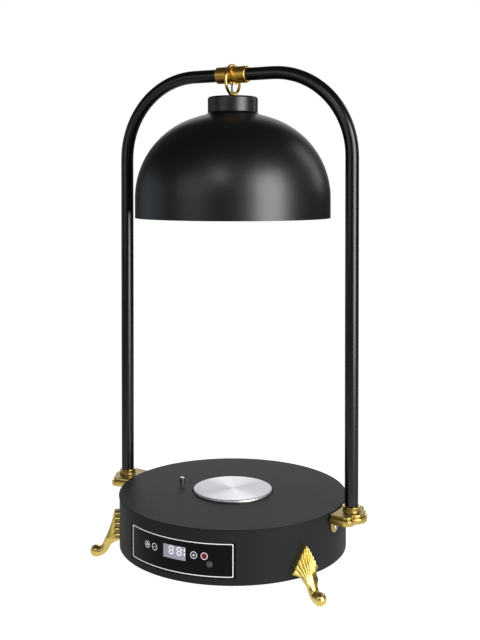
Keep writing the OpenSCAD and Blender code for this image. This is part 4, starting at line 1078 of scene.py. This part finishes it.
def studio_world(stage):
    """White for the camera; for light and reflections, bright behind the lamp and dim in front."""
    world = bpy.data.worlds.new("studio")
    world.use_nodes = True
    tree = world.node_tree
    tree.nodes.clear()
    direction = add_node(tree, "TexCoord").outputs["Generated"]
    up = radians(BACKDROP.up)
    away = (-sin(stage.yaw) * cos(up), cos(stage.yaw) * cos(up), sin(up))
    behind = add_node(tree, "VectorMath", {0: direction, 1: away}, operation="DOT_PRODUCT").outputs["Value"]
    glow = spread_value(tree, behind, BACKDROP.dim, BACKDROP.bright, BACKDROP.reach)
    studio = add_node(tree, "Background", {"Color": (0.97, 0.98, 1.0, 1), "Strength": glow})
    white = add_node(tree, "Background", {"Color": (1, 1, 1, 1)})
    seen = add_node(tree, "LightPath").outputs["Is Camera Ray"]
    both = add_node(tree, "MixShader", {0: seen, 1: studio.outputs[0], 2: white.outputs[0]})
    add_node(tree, "OutputWorld", {"Surface": both.outputs[0]})
    bpy.context.scene.world = world


def floor_finish(stage):
    """Pale floor: white with a little glow, fading out from the lamp and clear from below."""
    finish, tree = blank_finish(
        "pale_floor", Roughness=0.9, Specular_IOR_Level=0.1, Emission_Color=(1, 1, 1, 1))
    grain = noise(tree, 40)
    seen = add_node(tree, "LightPath").outputs["Is Camera Ray"]
    far = add_node(tree, "VectorMath", {0: place(tree)}, operation="LENGTH").outputs["Value"]
    glow = spread_value(tree, far, FLOOR.near, FLOOR.far, FLOOR.reach)
    near = spread_value(tree, far, 1.0, 0.0, (FLOOR.fade, stage.floor_radius))
    below = add_node(tree, "NewGeometry").outputs["Backfacing"]
    feed(
        tree,
        Base_Color=blend_colour(tree, grain, (0.36, 0.36, 0.36, 1), (0.40, 0.40, 0.40, 1)),
        Emission_Strength=maths(tree, "MAXIMUM", glow, seen),
        Alpha=maths(tree, "SUBTRACT", near, below, use_clamp=True),
    )
    return finish


class HEATLAMP_OT_stage(bpy.types.Operator):
    """Set the floor, the soft lights and the camera"""

    bl_idname = "heatlamp.stage"
    bl_label = "Stage"

    def execute(self, context):
        scene, stage = context.scene, context.scene.lamp_stage
        FINISHES["floor"] = floor_finish(stage)
        r = stage.floor_radius / MM * np.linspace(0, 1, FLOOR.rings) ** 1.5
        disc = revolve(np.stack([r, np.full(len(r), -FLOOR.drop)], 1), FLOOR.sides)
        floor = make_piece("floor", [disc], "floor", body=None)
        floor.data.flip_normals()
        studio_world(stage)
        for name, (degrees, distance, height, look_z, size, colour) in LIGHTS.items():
            position = round_the_camera(stage, degrees, distance, height)
            softbox(name, position, (0, 0, look_z), size, getattr(stage, name), colour)
        lens = bpy.data.cameras.new("camera")
        lens.lens, lens.sensor_width = stage.lens, CAMERA.sensor
        lens.shift_x, lens.shift_y = CAMERA.shift
        lens.clip_start, lens.clip_end = CAMERA.clip
        camera = bpy.data.objects.new("camera", lens)
        scene.collection.objects.link(camera)
        camera.location = round_the_camera(stage, 0, stage.distance, stage.height)
        camera.rotation_euler = (pi / 2 - stage.tilt, 0, stage.yaw)
        scene.camera = camera
        view = scene.view_settings
        view.view_transform, view.look = "Standard", "None"
        return {"FINISHED"}


# Add-on

STEPS = (
    HEATLAMP_OT_finishes, HEATLAMP_OT_drum, HEATLAMP_OT_hot_plate, HEATLAMP_OT_panel, HEATLAMP_OT_feet,
    HEATLAMP_OT_brackets, HEATLAMP_OT_arch, HEATLAMP_OT_lamp, HEATLAMP_OT_inner_works, HEATLAMP_OT_stage,
)


class HEATLAMP_PT_panel(bpy.types.Panel):
    """Sidebar panel with the steps, sizes, colours and light"""

    bl_idname = "HEATLAMP_PT_panel"
    bl_label = "Heat Lamp"
    bl_space_type = "VIEW_3D"
    bl_region_type = "UI"
    bl_category = "Heat Lamp"

    def draw(self, context):
        scene = context.scene
        for step in STEPS:
            self.layout.operator(step.bl_idname)
        for group in (scene.lamp_sizes, scene.lamp_colours, scene.lamp_stage):
            column = self.layout.column(align=True)
            for name in group.__annotations__:
                column.prop(group, name)


CLASSES = (LampColours, LampSizes, LampStage) + STEPS + (HEATLAMP_PT_panel,)


def register():
    """Registers the classes and hangs the property groups on the scene."""
    for one in CLASSES:
        bpy.utils.register_class(one)
    bpy.types.Scene.lamp_colours = PointerProperty(type=LampColours)
    bpy.types.Scene.lamp_sizes = PointerProperty(type=LampSizes)
    bpy.types.Scene.lamp_stage = PointerProperty(type=LampStage)


def unregister():
    """Takes the property groups and classes away again."""
    for name in ("lamp_colours", "lamp_sizes", "lamp_stage"):
        delattr(bpy.types.Scene, name)
    for one in reversed(CLASSES):
        bpy.utils.unregister_class(one)


def main():
    """Registers the add-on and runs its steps."""
    register()
    for step in STEPS:
        group, name = step.bl_idname.split(".")
        done = getattr(getattr(bpy.ops, group), name)()
        if done != {"FINISHED"}:
            raise RuntimeError(f"{step.bl_idname} didn't finish")


if __name__ == "__main__":
    main()
